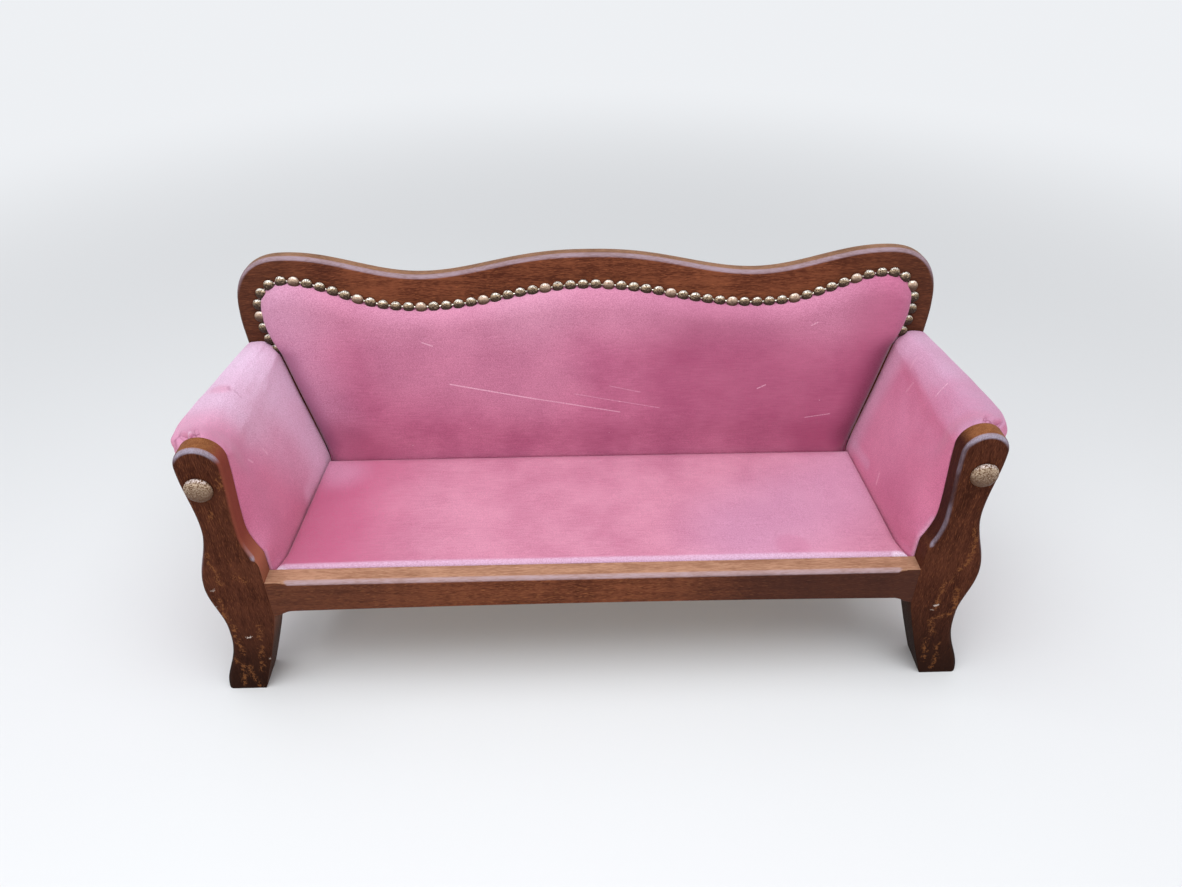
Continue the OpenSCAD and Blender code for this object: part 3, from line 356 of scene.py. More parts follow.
# Wood grain: short strokes and long streaks, run along whichever axis is squeezed, with a soft
# figure across them
tree, given, out = new_group(
    "wood_grain", [("Along", "Vector", (1, 1, 1)), ("Across", "Vector", (1, 1, 1))],
    [("Tone", "Float"), ("Pores", "Float"), ("Height", "Float")])
coords = object_place(tree)
along, across = (vectors(tree, "MULTIPLY", coords, given[way]) for way in ("Along", "Across"))
strokes = mottled(tree, along, 1250, 2, 0.6)
pores = ranged(tree, mottled(tree, along, 1500, 1), 0.60, 0.70)
tone = maths(tree, "ADD", times(tree, strokes, 0.5), times(tree, mottled(tree, along, 190, 3, 0.65), 0.35))
tone = maths(tree, "ADD", tone, times(tree, mottled(tree, across, 38), 0.25))
fill(tree, out, {"Tone": ranged(tree, tone, 0.40, 0.70), "Pores": pores,
                 "Height": maths(tree, "SUBTRACT", strokes, pores)})
grain_group = tree


def segment_mask(tree, coords, start, end, wide, soft):
    """1 near the line between two points in millimetres, fading to 0 at its soft edge; the line
    is drawn square to an axis given as None"""
    flat = [0 if v is None else 1 for v in start]
    start, end = (Vector([v or 0 for v in p]) * MM for p in (start, end))
    run = end - start
    across = vectors(tree, "SUBTRACT", vectors(tree, "MULTIPLY", coords, flat), start)
    share = vectors(tree, "DOT_PRODUCT", across, run / run.length_squared, key="Value")
    share = node(tree, "Clamp", {"Value": share}).outputs[0]
    near = node(tree, "VectorMath", {0: run, 3: share}, operation="SCALE").outputs[0]
    gap = vectors(tree, "DISTANCE", across, near, key="Value")
    return ranged(tree, gap, wide * MM, (wide + soft) * MM, 1, 0)


def square_to(axis, strokes):
    """Strokes that start with two pairs of coordinates, as lines drawn square to the third axis"""
    for a0, b0, a1, b1, *look in strokes:
        start, end = [a0, b0], [a1, b1]
        start.insert(axis, None)
        end.insert(axis, None)
        yield start, end, *look


def stained_wood(name, along, dark=(70, 34, 21), mid=(118, 66, 44), stroke=(150, 92, 58),
                 top=((150, 106, 76), (188, 142, 108)), edge_highlight=(176, 156, 164), cracks=(), scuffs=(),
                 foot=None, tints=(), highlight_side=0, gloss=0.05):
    """Dark stain over open grain. Upward faces turn tan, partly as lacquer paled by light and partly as
    painted light; rounded edges carry a pale painted highlight where they face up, and also to one side if a
    side is given.
    A colour at the foot, if given, is painted shade towards the floor. Its tints (axis, side faced, from, to,
    strength, colour) fade in along an axis; cracked lacquer and scuffs lie on the front face only"""
    finish, tree, shader = new_finish(name)
    coords = object_place(tree)
    place, facing = xyz(tree, coords), facing_xyz(tree)
    grain = node(tree, "Group", {"Along": along, "Across": [1 if v < 1 else 0.12 for v in along]},
                 node_tree=grain_group).outputs
    colour = tinted(tree, grain["Tone"], dark, mid)
    colour = tinted(tree, times(tree, grain["Pores"], 0.55), colour, stroke)
    # Painted shade, darker towards the floor
    if foot:
        colour = tinted(tree, ranged(tree, place["Z"], 0, 0.14, 0.88, 0), colour, foot)
    for axis, side, start, end, strength, shade in tints:
        mask = ranged(tree, place[axis], start, end, 0, strength)
        if side:
            mask = times(tree, mask, ranged(tree, times(tree, facing["X"], side), 0.4, 0.85))
        colour = tinted(tree, mask, colour, shade)
    # Upward faces turn tan: partly lacquer paled by light, partly painted light from above
    lit_and_faded = ranged(tree, facing["Z"], 0.3, 0.95, 0, 0.9)
    colour = tinted(tree, lit_and_faded, colour, tinted(tree, grain["Tone"], *top))
    # Pale painted highlight on rounded edges that face up, and also to one side when a side is given
    painted_light = node(tree, "Attribute", attribute_name="painted_light").outputs["Fac"]
    highlight_facing = ranged(tree, facing["Z"], 0.12, 0.5)
    if highlight_side:
        side_highlight = times(tree, ranged(tree, mottled(tree, coords, 22), 0.4, 0.62, 0.1, 0.6),
                         ranged(tree, times(tree, facing["X"], highlight_side), 0.3, 0.75))
        highlight_facing = maths(tree, "MAXIMUM", highlight_facing, side_highlight)
    highlight_mask = times(tree, ranged(tree, painted_light, 0.45, 1), highlight_facing)
    highlight_mask = times(tree, highlight_mask, ranged(tree, grain["Tone"], 0, 1, 0.55, 0.98))
    colour = tinted(tree, highlight_mask, colour, edge_highlight)
    height = grain["Height"]
    if cracks:
        shift = mottled(tree, coords, 300, 3, 0.7, "Color")
        bend = 0.009
        bent = vectors(tree, "MULTIPLY_ADD", shift, [bend] * 3, coords)
        bent = vectors(tree, "ADD", bent, [-bend / 2] * 3)
        front = ranged(tree, facing["Y"], -0.7, -0.3, 1, 0)
        lines, zone = 0.0, 0.0
        for line in cracks:
            for ends in square_to(1, [(*a, *b) for a, b in zip(line, line[1:])]):
                lines = maths(tree, "MAXIMUM", lines, segment_mask(tree, bent, *ends, 0.05, 0.6))
                zone = maths(tree, "MAXIMUM", zone, segment_mask(tree, bent, *ends, 1.2, 3.2))
        tall = vectors(tree, "MULTIPLY", bent, (1, 0.3, 0.45))
        crazing = node(tree, "TexVoronoi", {"Vector": tall, "Scale": 330}, feature="DISTANCE_TO_EDGE")
        crazing = times(tree, ranged(tree, crazing.outputs["Distance"], 0.02, 0.13, 0.8, 0), zone)
        lines = times(tree, maths(tree, "MAXIMUM", lines, crazing),
                      ranged(tree, mottled(tree, coords, 230), 0.36, 0.56, 0, 0.7))
        lines = times(tree, lines, front)
        colour = tinted(tree, lines, colour, (146, 92, 54))
        height = maths(tree, "SUBTRACT", height, times(tree, lines, 1.5))
    chips = [(x - wide, z, x + wide, z + 0.6, wide, strength) for x, z, wide, strength in scuffs]
    for start, end, wide, strength in square_to(1, chips):
        chip = times(tree, segment_mask(tree, bent, start, end, wide * 0.3, 0.9), strength)
        colour = tinted(tree, times(tree, chip, front), colour, (206, 190, 180))
    fill(tree, shader, {"Base Color": colour, "Normal": bumped(tree, height, 0.35, 0.0004),
                        "Roughness": ranged(tree, grain["Pores"], 0, 1, 0.45, 0.6),
                        "Specular IOR Level": gloss})
    return finish


LENGTHWISE, UPRIGHT = (0.12, 1, 1), (1, 1, 0.12)
# The legs' foot colour is painted shade towards the floor, their top colour partly painted light and their
# edge colour a painted highlight
LEG_STAIN_AND_LIGHT = {"gloss": 0.015, "dark": (56, 27, 18), "mid": (90, 50, 35), "stroke": (122, 72, 45),
             "foot": (32, 17, 12), "top": ((112, 66, 40), (150, 98, 62)), "edge_highlight": (154, 146, 162)}
# Painted shade on the side faces low on both legs
FOOT_SIDE_SHADE = [("Z", side, 0.14, 0.045, 0.85, (34, 18, 12)) for side in (-1, 1)]
leg_finishes = {
    -1: stained_wood("leg_wood_left", UPRIGHT, cracks=[
        [(-342, 180), (-343, 171), (-340, 157), (-340, 145)], [(-323, 154), (-317, 147)],
        [(-311, 265), (-312, 254)],
        [(-346, 129), (-345, 117), (-346, 105), (-341, 91), (-342, 74), (-340, 51)],
        [(-327, 230), (-328, 221)], [(-339, 33), (-339, 20), (-334, 3)], [(-322, 60), (-323, 46), (-328, 27)],
        [(-317, 88), (-320, 70)], [(-350, 44), (-344, 33), (-350, 6)]],
        scuffs=[(-330, 74, 1.6, 0.9), (-348, 137, 1.4, 0.4), (-351, 115, 1, 0.5), (-316, 43, 0.8, 0.5)],
        # The first two tints paint light on the upper inner side of the left leg, lighter and warmer
        tints=[("Z", 1, 0.15, 0.172, 0.7, (146, 76, 62)), ("Z", 1, 0.2, 0.165, 0.55, (176, 112, 86)),
               *FOOT_SIDE_SHADE], **LEG_STAIN_AND_LIGHT),
    1: stained_wood("leg_wood_right", UPRIGHT, cracks=[
        [(338, 193), (343, 178), (342, 153), (336, 142)], [(333, 132), (327, 123), (325, 108), (326, 93)],
        [(343, 86), (331, 82), (324, 76), (331, 58)], [(340, 118), (344, 90)],
        [(339, 42), (341, 21), (339, 8)], [(326, 48), (330, 19)]],
        scuffs=[(325, 97, 1.6, 0.8), (323, 91, 0.8, 0.4)],
        # Painted shade on the upper inner side of the right leg; its inner edge also takes the painted
        # highlight
        tints=[("Z", -1, 0.13, 0.2, 0.5, (52, 30, 30)), *FOOT_SIDE_SHADE], highlight_side=-1, **LEG_STAIN_AND_LIGHT)}


def leg_rings():
    """Rings of the leg from its rounded front face back over the step for the velvet"""
    arris, stop_run = 0.6, 9
    rounds = [leg_round if i < inner_from else mix(arris, leg_round, ease(clamp((z - shoulder_z) / stop_run)))
              for i, (x, z) in enumerate(leg_outline)]
    slim = inset(leg_outline, stump_step)
    rings = [([(x, front_y + y, z) for x, y, z in ring], painted_light)
             for ring, painted_light in face_rings(leg_outline, stump_show, rounds, False)]
    rings = [(ring, [e * clamp(z / rail_low) for e, (x, y, z) in zip(painted_light, ring)])
             for ring, painted_light in rings]
    for y_stump, y_low in ((stump_y + 0.05, stump_y + 6), (leg_back_y, leg_back_y)):
        rings.append(([(s[0], y_stump, s[1]) if p[1] > rail_top else (p[0], y_low, p[1])
                       for p, s in zip(leg_outline, slim)], [0] * len(slim)))
    return rings


for side, word in SIDES:
    rings = leg_rings()
    solid = skin([[(side * x, y, z) for x, y, z in ring] for ring, painted_light in rings])
    make_piece("front_leg_%s_wood" % word, *solid, leg_finishes[side], "frame", "dark_wood",
               ["front_leg_" + word], ring_painted_light(rings))

# Front rail
# A beech rail between the legs, its top front edge rounded over and a long shallow relief cut
# under it. It is doweled to the legs and stained like them, with the grain lengthwise.
rail_t, rail_round, rail_arris, round_stop, bit_r = 18, 5, 1, 20, 6
relief_h, relief_run, relief_bow = 5.5, 18, 2.8
# The rail's top colour is partly painted light and its edge colour a painted highlight
rail_wood = stained_wood(
    "rail_wood", LENGTHWISE, dark=(74, 36, 22), mid=(124, 70, 46), stroke=(158, 98, 60),
    top=((146, 104, 80), (188, 144, 116)), edge_highlight=(170, 145, 149),
    tints=[("X", 0, 0.02, 0.2, 0.78, (56, 31, 26)), ("X", 0, -0.08, -0.28, 0.5, (68, 39, 30))])
stations = sorted({s * (rail_x - v) for s in (-1, 1)
                   for v in list(range(31)) + [rail_x * k / 24 for k in range(3, 25)]})
turn = [math.pi / 16 * k for k in range(9)]
# Each point of the rail gets a share of the painted highlight on its rounded edge
rings, painted_light = [], []
for x in stations:
    low = rail_low + relief_h * ease(clamp((rail_x - abs(x)) / relief_run)) \
        + relief_bow * (1 - (x / rail_x) ** 2)
    section = [(front_y + rail_t, low), (front_y + rail_arris, low), (front_y, low + rail_arris)]
    painted_light += [0, 0, 0]
    over = max(0, abs(x) - (rail_x - round_stop))
    for a in turn:
        reach = bit_r + rail_round * (1 - math.cos(a))
        cut = max(0, math.sqrt(max(0, reach ** 2 - over ** 2)) - bit_r)
        section.append((front_y + cut, rail_top - rail_round * (1 - math.sin(a))))
        painted_light.append(edge_highlight_band(a) * clamp(cut / (reach - bit_r + 0.01)))
    section += [(front_y + rail_t, rail_top)]
    rings.append([(x, y, z) for y, z in section])
    painted_light.append(0)
make_piece("front_rail_wood", *skin(rings), rail_wood, "frame", "dark_wood", ["front_rail"], painted_light)

# Back legs
# Two posts that lean with the back and sweep rearwards to their heels below the seat frame.
# Same stained beech, edges just broken.
seat_run, rake, board_t = 198.4, math.radians(4.8), 18
crest_half, crest_foot_in, arm_high_back = 347, 3, 278.5
post_w, post_arris, heel_t, heel_curl, heel_steps = 54, 1.5, 24, 1.6, 24
back_y = front_y + seat_run
arm_top_h = (arm_high_back - rail_top) / math.cos(rake)
crest_low = arm_top_h - 16.5
post_in = crest_half - crest_foot_in - post_w


def plane_y(z):
    return back_y + (z - rail_top) * math.tan(rake)


def board_z(h):
    return rail_top + h * math.cos(rake)


def on_board(x, y, h):
    """A place on the leaning board: across, to the rear and up the board"""
    return (x, back_y + y * math.cos(rake) + h * math.sin(rake),
            rail_top - y * math.sin(rake) + h * math.cos(rake))


post_wood = stained_wood("post_wood", UPRIGHT)
post_top = board_z(crest_low)
thick = board_t / math.cos(rake)


def heel(z, reach):
    return (reach - plane_y(0)) * (1 - z / rail_low) ** heel_curl if z < rail_low else 0


levels = [rail_low * i / heel_steps for i in range(heel_steps + 1)]
post_side = [(plane_y(z) + thick + heel(z, depth / 2 - thick), z) for z in levels]
post_side += [(plane_y(post_top) + board_t * math.cos(rake), post_top - board_t * math.sin(rake)),
              (plane_y(post_top), post_top)]
post_side += [(plane_y(z) + heel(z, depth / 2 - heel_t), z) for z in reversed(levels)]
for side, word in SIDES:
    rings = face_rings(post_side, post_w, [post_arris] * len(post_side), True)
    solid = skin([[(side * (post_in + x), y, z) for y, x, z in ring] for ring, painted_light in rings])
    make_piece("back_leg_%s_wood" % word, *solid, post_wood, "frame", "dark_wood",
               ["back_leg_" + word], ring_painted_light(rings))

# Crest board
# One wide board, sawn to a wave between two ears and rounded over front and back. It stands on
# the posts, held by dowels, and leans with them.
mid_h, hollow_h, ear_h, hollow_x, ear_x, ear_drop, crest_round = 220.4, 200.5, 221.3, 164.1, 293, 60, 5
middle_skew, ear_curve, ear_steps, wave_steps = 1.2, 2.5, 14, 90


def crest_top(x):
    if x < hollow_x:
        return mix(mid_h, hollow_h, ease((x / hollow_x) ** middle_skew))
    if x < ear_x:
        return mix(hollow_h, ear_h, ease((x - hollow_x) / (ear_x - hollow_x)))
    share = min(1, (x - ear_x) / (crest_half - ear_x))
    return ear_h - ear_drop + ear_drop * (1 - share ** ear_curve) ** (1 / ear_curve)


crest_side = [(crest_half - crest_foot_in * (1 - ease(t)), mix(crest_low, ear_h - ear_drop, t))
              for t in (i / ear_steps for i in range(ear_steps))]
crest_side += [(x, crest_top(x)) for x in (round_point(ear_x, 0, crest_half - ear_x, a)[0]
                                           for a in range(0, 91, 4))]
crest_side += [(x, crest_top(x)) for x in (ear_x * i / wave_steps for i in range(wave_steps - 1, 0, -1))]
crest_outline = crest_side + [(0, mid_h)] + [(-x, h) for x, h in reversed(crest_side)]
# The crest's top colour is partly painted light and its edge colour a painted highlight
crest_wood = stained_wood(
    "crest_wood", LENGTHWISE, dark=(74, 36, 24), mid=(126, 72, 48), stroke=(150, 88, 56),
    top=((112, 78, 56), (154, 114, 86)), edge_highlight=(154, 134, 144),
    tints=[("X", 0, side * 0.2, side * 0.33, 0.5, (60, 36, 28)) for side in (-1, 1)])
rings = face_rings(crest_outline, board_t, [crest_round] * len(crest_outline), True)
solid = skin([[on_board(*p) for p in ring] for ring, painted_light in rings])
make_piece("crest_board_wood", *solid, crest_wood, "frame", "dark_wood", ["crest_board"], ring_painted_light(rings))

# Inner frame
# Plain sawn rails, ledgers, blocks and dowels that the upholstery hides. They are left as they
# came from the saw, with glue and screws; only their undersides show.


def plain_wood(name, along, dark, pale):
    """Bare wood with its grain"""
    finish, tree, shader = new_finish(name)
    grain = node(tree, "Group", {"Along": along}, node_tree=grain_group).outputs
    colour = tinted(tree, grain["Tone"], dark, pale)
    colour = tinted(tree, times(tree, grain["Pores"], 0.5), colour, [c * 0.6 for c in dark])
    fill(tree, shader, {"Base Color": colour, "Normal": bumped(tree, grain["Height"], 0.5, 0.0005),
                        "Roughness": ranged(tree, grain["Tone"], 0, 1, 0.55, 0.8)})
    return finish


DEEPWISE, SAWN = (1, 0.12, 1), ((92, 62, 42), (136, 98, 68))
inner_finishes = [
    (plain_wood("sawn_wood_across", LENGTHWISE, *SAWN), "frame_wood",
     ["back_rail", "stay_rail", "seat_ledgers", "corner_blocks"]),
    (plain_wood("sawn_wood_deep", DEEPWISE, *SAWN), "frame_wood",
     ["side_rail_left", "side_rail_right", "arm_rail_left", "arm_rail_right", "cross_bearer"]),
    (plain_wood("dowel_wood", LENGTHWISE, (176, 140, 98), (208, 178, 132)), "pale_wood",
     ["rail_dowels", "crest_dowels"]),
    (plain_wood("ply_wood", LENGTHWISE, (150, 112, 72), (188, 150, 104)), "pale_wood",
     ["seat_board", "back_panel", "arm_web_left", "arm_web_right"])]


def aged_metal(name, dark, pale, shine, rough, spots=(0.5, 0.62), scale=900, lower_shade=(40, 30, 24),
               glint=None, shade_facing=(-0.5, 0.72)):
    """Old metal: pale where handling has polished it and dark in its small dents, with a painted glint on its
    upward faces and painted shade on its lower side
    """
    finish, tree, shader = new_finish(name)
    mask = ranged(tree, mottled(tree, object_place(tree), scale, 3, 0.65), *spots)
    facing_up = facing_xyz(tree)["Z"]
    # Painted glint on upward faces, painted shade on the lower side
    bright = tinted(tree, ranged(tree, facing_up, 0.45, 0.8), pale, glint or pale)
    below = ranged(tree, facing_up, *shade_facing, 0.95, 0)
    colour = tinted(tree, below, tinted(tree, mask, bright, dark), lower_shade)
    fill(tree, shader, {"Base Color": colour, "Roughness": ranged(tree, mask, 0, 1, rough, rough + 0.25),
                        "Metallic": ranged(tree, below, 0, 0.8, shine, 0.05), "Specular IOR Level": 0.2,
                        "Normal": bumped(tree, mask, 0.5, 0.0003, invert=True)})
    return finish


# These metals carry the painted shade on their lower side too
inner_finishes += [
    (aged_metal("dull_steel", (70, 68, 66), (150, 150, 152), 0.9, 0.35), "steel", ["seat_staples"]),
    (aged_metal("blued_tacks", (38, 38, 42), (88, 88, 94), 0.8, 0.4), "steel", ["back_tacks"]),
    (aged_metal("screw_brass", (92, 78, 46), (170, 148, 92), 0.9, 0.35), "old_brass", ["block_screws"])]
for finish, slot, names in inner_finishes:
    for name in names:
        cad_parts[name].data.materials.clear()
        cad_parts[name].data.materials.append(finish)

# Dusty rose velvet
# The one cloth that covers seat, back and arms: short cotton pile on a ribbed ground, painted
# lilac on the arm tops as sheen and light and partly as fading, with pressed marks in its nap, washes
# of painted light and shade, and a little lint.
tree, given, out = new_group("velvet_nap", [("Rib Pitch", "Float", 0.0018)],
                             [("Tone", "Float"), ("Nap", "Float"), ("Lint", "Float")])
coords = object_place(tree)
wefts = vectors(tree, "MULTIPLY", coords, (0.1, 1, 1))
rate = maths(tree, "DIVIDE", 2 * math.pi, given["Rib Pitch"])
place = xyz(tree, coords)
depth_z = maths(tree, "ADD", place["Y"], place["Z"])
ribs = [maths(tree, "SINE", times(tree, maths(tree, way, place["X"], depth_z), rate))
        for way in ("ADD", "SUBTRACT")]
rib = times(tree, maths(tree, "ADD", *ribs), 0.02)
tone = maths(tree, "ADD", times(tree, mottled(tree, coords, 16, 3, 0.55), 0.85),
             times(tree, mottled(tree, wefts, 700, 1), 0.3))
specks = node(tree, "TexVoronoi", {"Vector": coords, "Scale": 95}).outputs
chance = node(tree, "SeparateColor", {0: specks["Color"]}).outputs[0]
lint = times(tree, ranged(tree, specks["Distance"], 0.03, 0.07, 1, 0),
             ranged(tree, chance, 0.965, 0.97))
fill(tree, out, {"Tone": ranged(tree, maths(tree, "ADD", tone, rib), 0.25, 0.9), "Lint": lint,
                 "Nap": ranged(tree, mottled(tree, coords, 1150, 1, 0.6), 0.28, 0.72)})
nap_group = tree
# Stroke colours: rose, lilac and the pale lilac-white last one are painted light and sheen; deep rose and the
# crease colour are painted shade; pale and lint are marks in the cloth.
ROSE, LILAC, DEEP_ROSE, PALE = (208, 150, 174), (206, 164, 190), (158, 70, 104), (236, 190, 210)
CREASE, LINT, LIT_PALE = (128, 60, 88), (240, 224, 238), (218, 190, 212)


def rose_velvet(name, deep, rose, strokes=(), lit_and_faded=None, sheen=0.3):
    """Velvet of one piece. Its strokes (start, end, half width, fade, strength, colour) are washes of painted
    light, sheen and shade, and pressed marks in the nap. Upward faces can be painted paler as sheen and
    light, partly as fading, and the folds of pleats are painted darker as shade"""
    finish, tree, shader = new_finish(name)
    nap = node(tree, "Group", node_tree=nap_group).outputs
    coords = object_place(tree)
    colour = tinted(tree, nap["Tone"], deep, rose)
    # Upward faces painted paler: painted sheen and light, partly fading
    if lit_and_faded:
        top = ranged(tree, facing_xyz(tree)["Z"], 0, 1, 0, 0.8)
        colour = tinted(tree, times(tree, top, ranged(tree, nap["Tone"], 0, 1, 0.7, 1)), colour, lit_and_faded)
    for start, end, wide, fade, strength, shade in strokes:
        line = segment_mask(tree, coords, start, end, wide, fade)
        line = times(tree, line, ranged(tree, nap["Nap"], 0, 1, strength * 0.6, strength))
        colour = tinted(tree, line, colour, shade)
    # Painted shade in the folds of the pleats
    fold_shade = node(tree, "Attribute", attribute_name="painted_light").outputs["Fac"]
    colour = tinted(tree, ranged(tree, fold_shade, 0.3, 1.1, 0, 0.85), colour, CREASE)
    colour = node(tree, "Mix", {0: 1.0, 6: colour, 7: ranged(tree, nap["Nap"], 0, 1, 0.89, 1.08)},
                  data_type="RGBA", blend_type="MULTIPLY").outputs[2]
    colour = tinted(tree, times(tree, nap["Lint"], 0.5), colour, (236, 206, 214))
    fill(tree, shader, {"Base Color": colour, "Normal": bumped(tree, nap["Nap"], 0.25, 0.0005),
                        "Roughness": 0.95, "Specular IOR Level": 0.08, "Sheen Weight": sheen,
                        "Sheen Roughness": 0.45, "Sheen Tint": (1.0, 0.86, 0.97, 1)})
    return finish


# Back
# Velvet over wadding on an inset ply panel, flat at its rim and swelling to 12 mm. Its upper edge
# follows the crest, and it rolls down behind the seat.
velvet_t, pad_t, web_t, snug = 1.2, 6, 2, 0.3
back_rows, back_cols, back_deep, crown_rise, foot_roll = 100, 220, 9.5, 50, 6
back_proud, back_crown, back_roll, cover_low, edge_w, rim_out = 9.2, 12.4, 20, -14, 2.5, 0.5
lap_front, lap_back, top_front, top_back, out_front, out_back = 292.6, 282.6, 310, 314, 358.5, 344
arm_high_front, arm_rail_t, arm_rail_h = 288, 11, 34
nail_turn, nail_side_in, nail_bow_drop, nail_bow = 28.5, 22, 6, 151.5
nail_ear_x = crest_half - nail_side_in - nail_turn
nail_ear_h, nail_hollow_h, nail_mid_h = ear_h - 24, hollow_h - 32.2, mid_h - 31.1
nail_turn_h = nail_ear_h - nail_turn
corner_x = nail_ear_x + nail_turn * 0.66


def slab(top, under):
    """Points and faces of a closed solid between two grids of one layout"""
    rows, cols = len(top), len(top[0])
    m = rows * cols
    points, faces = [p for g in (top, under) for r in g for p in r], []
    for i in range(rows - 1):
        for j in range(cols - 1):
            a = i * cols + j
            faces += [(a, a + 1, a + cols + 1, a + cols), (m + a, m + a + cols, m + a + cols + 1, m + a + 1)]
    for j in range(cols - 1):
        c = (rows - 1) * cols + j
        faces += [(j, m + j, m + j + 1, j + 1), (c, c + 1, m + c + 1, m + c)]
    for i in range(rows - 1):
        a, c = i * cols, i * cols + cols - 1
        faces += [(a, a + cols, m + a + cols, m + a), (c, m + c, m + c + cols, c + cols)]
    return points, faces


def nail_side(h):
    return crest_half - nail_side_in - max(0, nail_turn_h - nail_bow_drop - h) ** 2 / nail_bow


def nail_height(x):
    if x < hollow_x:
        return mix(nail_mid_h, nail_hollow_h, ease(x / hollow_x))
    if x < nail_ear_x:
        return mix(nail_hollow_h, nail_ear_h, ease(((x - hollow_x) / (nail_ear_x - hollow_x)) ** 1.3))
    return nail_turn_h + nail_turn * math.sqrt(max(0, 1 - ((x - nail_ear_x) / nail_turn) ** 2))


def swell(t):
    return math.sqrt(max(0, 1 - (1 - clamp(t)) ** 2))


def drift_at(*place):
    return noise.noise(Vector(place))


arm_tuck_z = rail_top - 29.5
arm_rail_in = top_back + velvet_t + pad_t + 0.6
arm_rail_drop = velvet_t + pad_t + 3.4
arm_rail_back_z = arm_high_back - arm_rail_drop
arm_rail_front_z = arm_high_front - arm_rail_drop
swell_at, hug_run, skirt_share, belly, arm_crown = 0.18, 0.16, 0.6, 2.4, 1.8
pad_from = (leg_back_y + snug - stump_y) / (back_y - stump_y)


def arm_rail_line(y):
    """Top of the arm rail at a depth"""
    return mix(arm_rail_front_z, arm_rail_back_z, (y - leg_back_y) / (plane_y(arm_rail_back_z) - leg_back_y))


def puffed(t):
    """How far the arm stands free of the leg's edge, 0 to 1"""
    return 1 - (1 - clamp(t / hug_run)) ** 2


def beside_leg(p, t):
    """Inner face of the arm, drawn along the edge of the leg where the two meet"""
    x, z = p
    if not rail_top <= z <= head_z:
        return p
    edge = leg_in(z) - mix(velvet_t + snug, velvet_t / 2, clamp((z - rail_top) / (neck_z - rail_top)))
    return Vector((mix(edge, x, puffed(t)), z))


def arm_key(t):
    """Key points of the arm's section at a share of its length, from inside up and over"""
    full = ease(clamp(t / swell_at))
    further = clamp((t - swell_at) / (1 - swell_at))
    inner = mix(lap_front, lap_back, t)
    top_in = mix(head_x - head_r - 1.2, mix(top_front, top_back, further), full)
    out = mix(head_x + head_r + 1.2, mix(out_front, out_back, further ** 1.3), ease(clamp(t / swell_at * 2)))
    high = mix(head_z + head_r - 1, mix(arm_high_front, arm_high_back, further), full)
    soft, edge = (mix(head_r * 0.9, mix(front, back, further), full) for front, back in ((20, 13), (8, 5)))
    rise = high - rail_top
    skirt_z = arm_rail_line(mix(stump_y, back_y, t)) - arm_rail_h * skirt_share
    skirt = mix(leg_out(skirt_z), arm_rail_in + arm_rail_t + velvet_t, ease(clamp((t - pad_from) / swell_at)))
    free, stuffed = puffed(t), math.sin(math.pi * clamp(t)) ** 0.6
    return [(mix(leg_in(arm_tuck_z) - velvet_t - snug, inner, free), arm_tuck_z),
            (mix(leg_in(rail_top) - velvet_t - snug, inner, free), rail_top - 2),
            (mix(inner, top_in, 0.27) - belly * stuffed * 0.8, rail_top + rise * 0.25),
            (mix(inner, top_in, 0.62) - belly * stuffed, rail_top + rise * 0.55),
            (mix(inner, top_in, 0.93) - belly * stuffed * 0.5, high - soft * 1.7),
            (top_in + soft * 0.12, high - soft * 0.8),
            (top_in + soft * 0.7, high - soft * 0.18 + arm_crown * stuffed / 2),
            ((top_in + out) / 2, high + arm_crown * stuffed), (out - edge * 0.75, high - edge * 0.2),
            (out - edge * 0.06, high - edge * 0.95), (out - soft * 0.15, high - soft * 1.7),
            (mix(out, skirt, 0.85), skirt_z + 6), (skirt, skirt_z)]


def lookup(value, table):
    """Straight steps between pairs of value and result"""
    for (a, x), (b, y) in zip(table, table[1:]):
        if value <= b:
            return mix(x, y, clamp((value - a) / (b - a)))
    return table[-1][1]


def spline(keys, steps):
    """A smooth curve through key points"""
    curve, n = [], len(keys)
    for i in range(n - 1):
        a, b, c, d = (Vector(keys[k]) for k in (max(i - 1, 0), i, i + 1, min(i + 2, n - 1)))
        for k in range(steps):
            t = k / steps
            curve.append((2 * b + (c - a) * t + (2 * a - 5 * b + 4 * c - d) * t * t
                          + (3 * b - a - 3 * c + d) * t ** 3) / 2)
    return curve + [Vector(keys[-1])]


seam_in, inner_keys, end_steps = 11, 5, 6
arm_end = [(z, x) for x, z in spline(arm_key(1), end_steps)[end_steps:inner_keys * end_steps + 1]]
arm_seam_h = arm_top_h - 16


def arm_meet(h):
    return lookup(board_z(h), arm_end)


def velvet_side(h):
    if h > nail_turn_h:
        round_r = nail_turn + rim_out
        return nail_ear_x + round_r * math.sqrt(max(0, 1 - ((h - nail_turn_h) / round_r) ** 2))
    if h > arm_seam_h:
        return nail_side(h) + rim_out
    return arm_meet(h) + min(seam_in, nail_side(arm_seam_h) + rim_out - arm_meet(arm_seam_h))


def pad_side(h):
    inside = velvet_side(h) - edge_w
    return inside if h > arm_top_h - 6 else min(arm_meet(h) + 0.4, inside)


def velvet_top(x):
    return nail_height(min(x, corner_x)) + rim_out


def crowd(t):
    return t - 0.1 * math.sin(2 * math.pi * t)


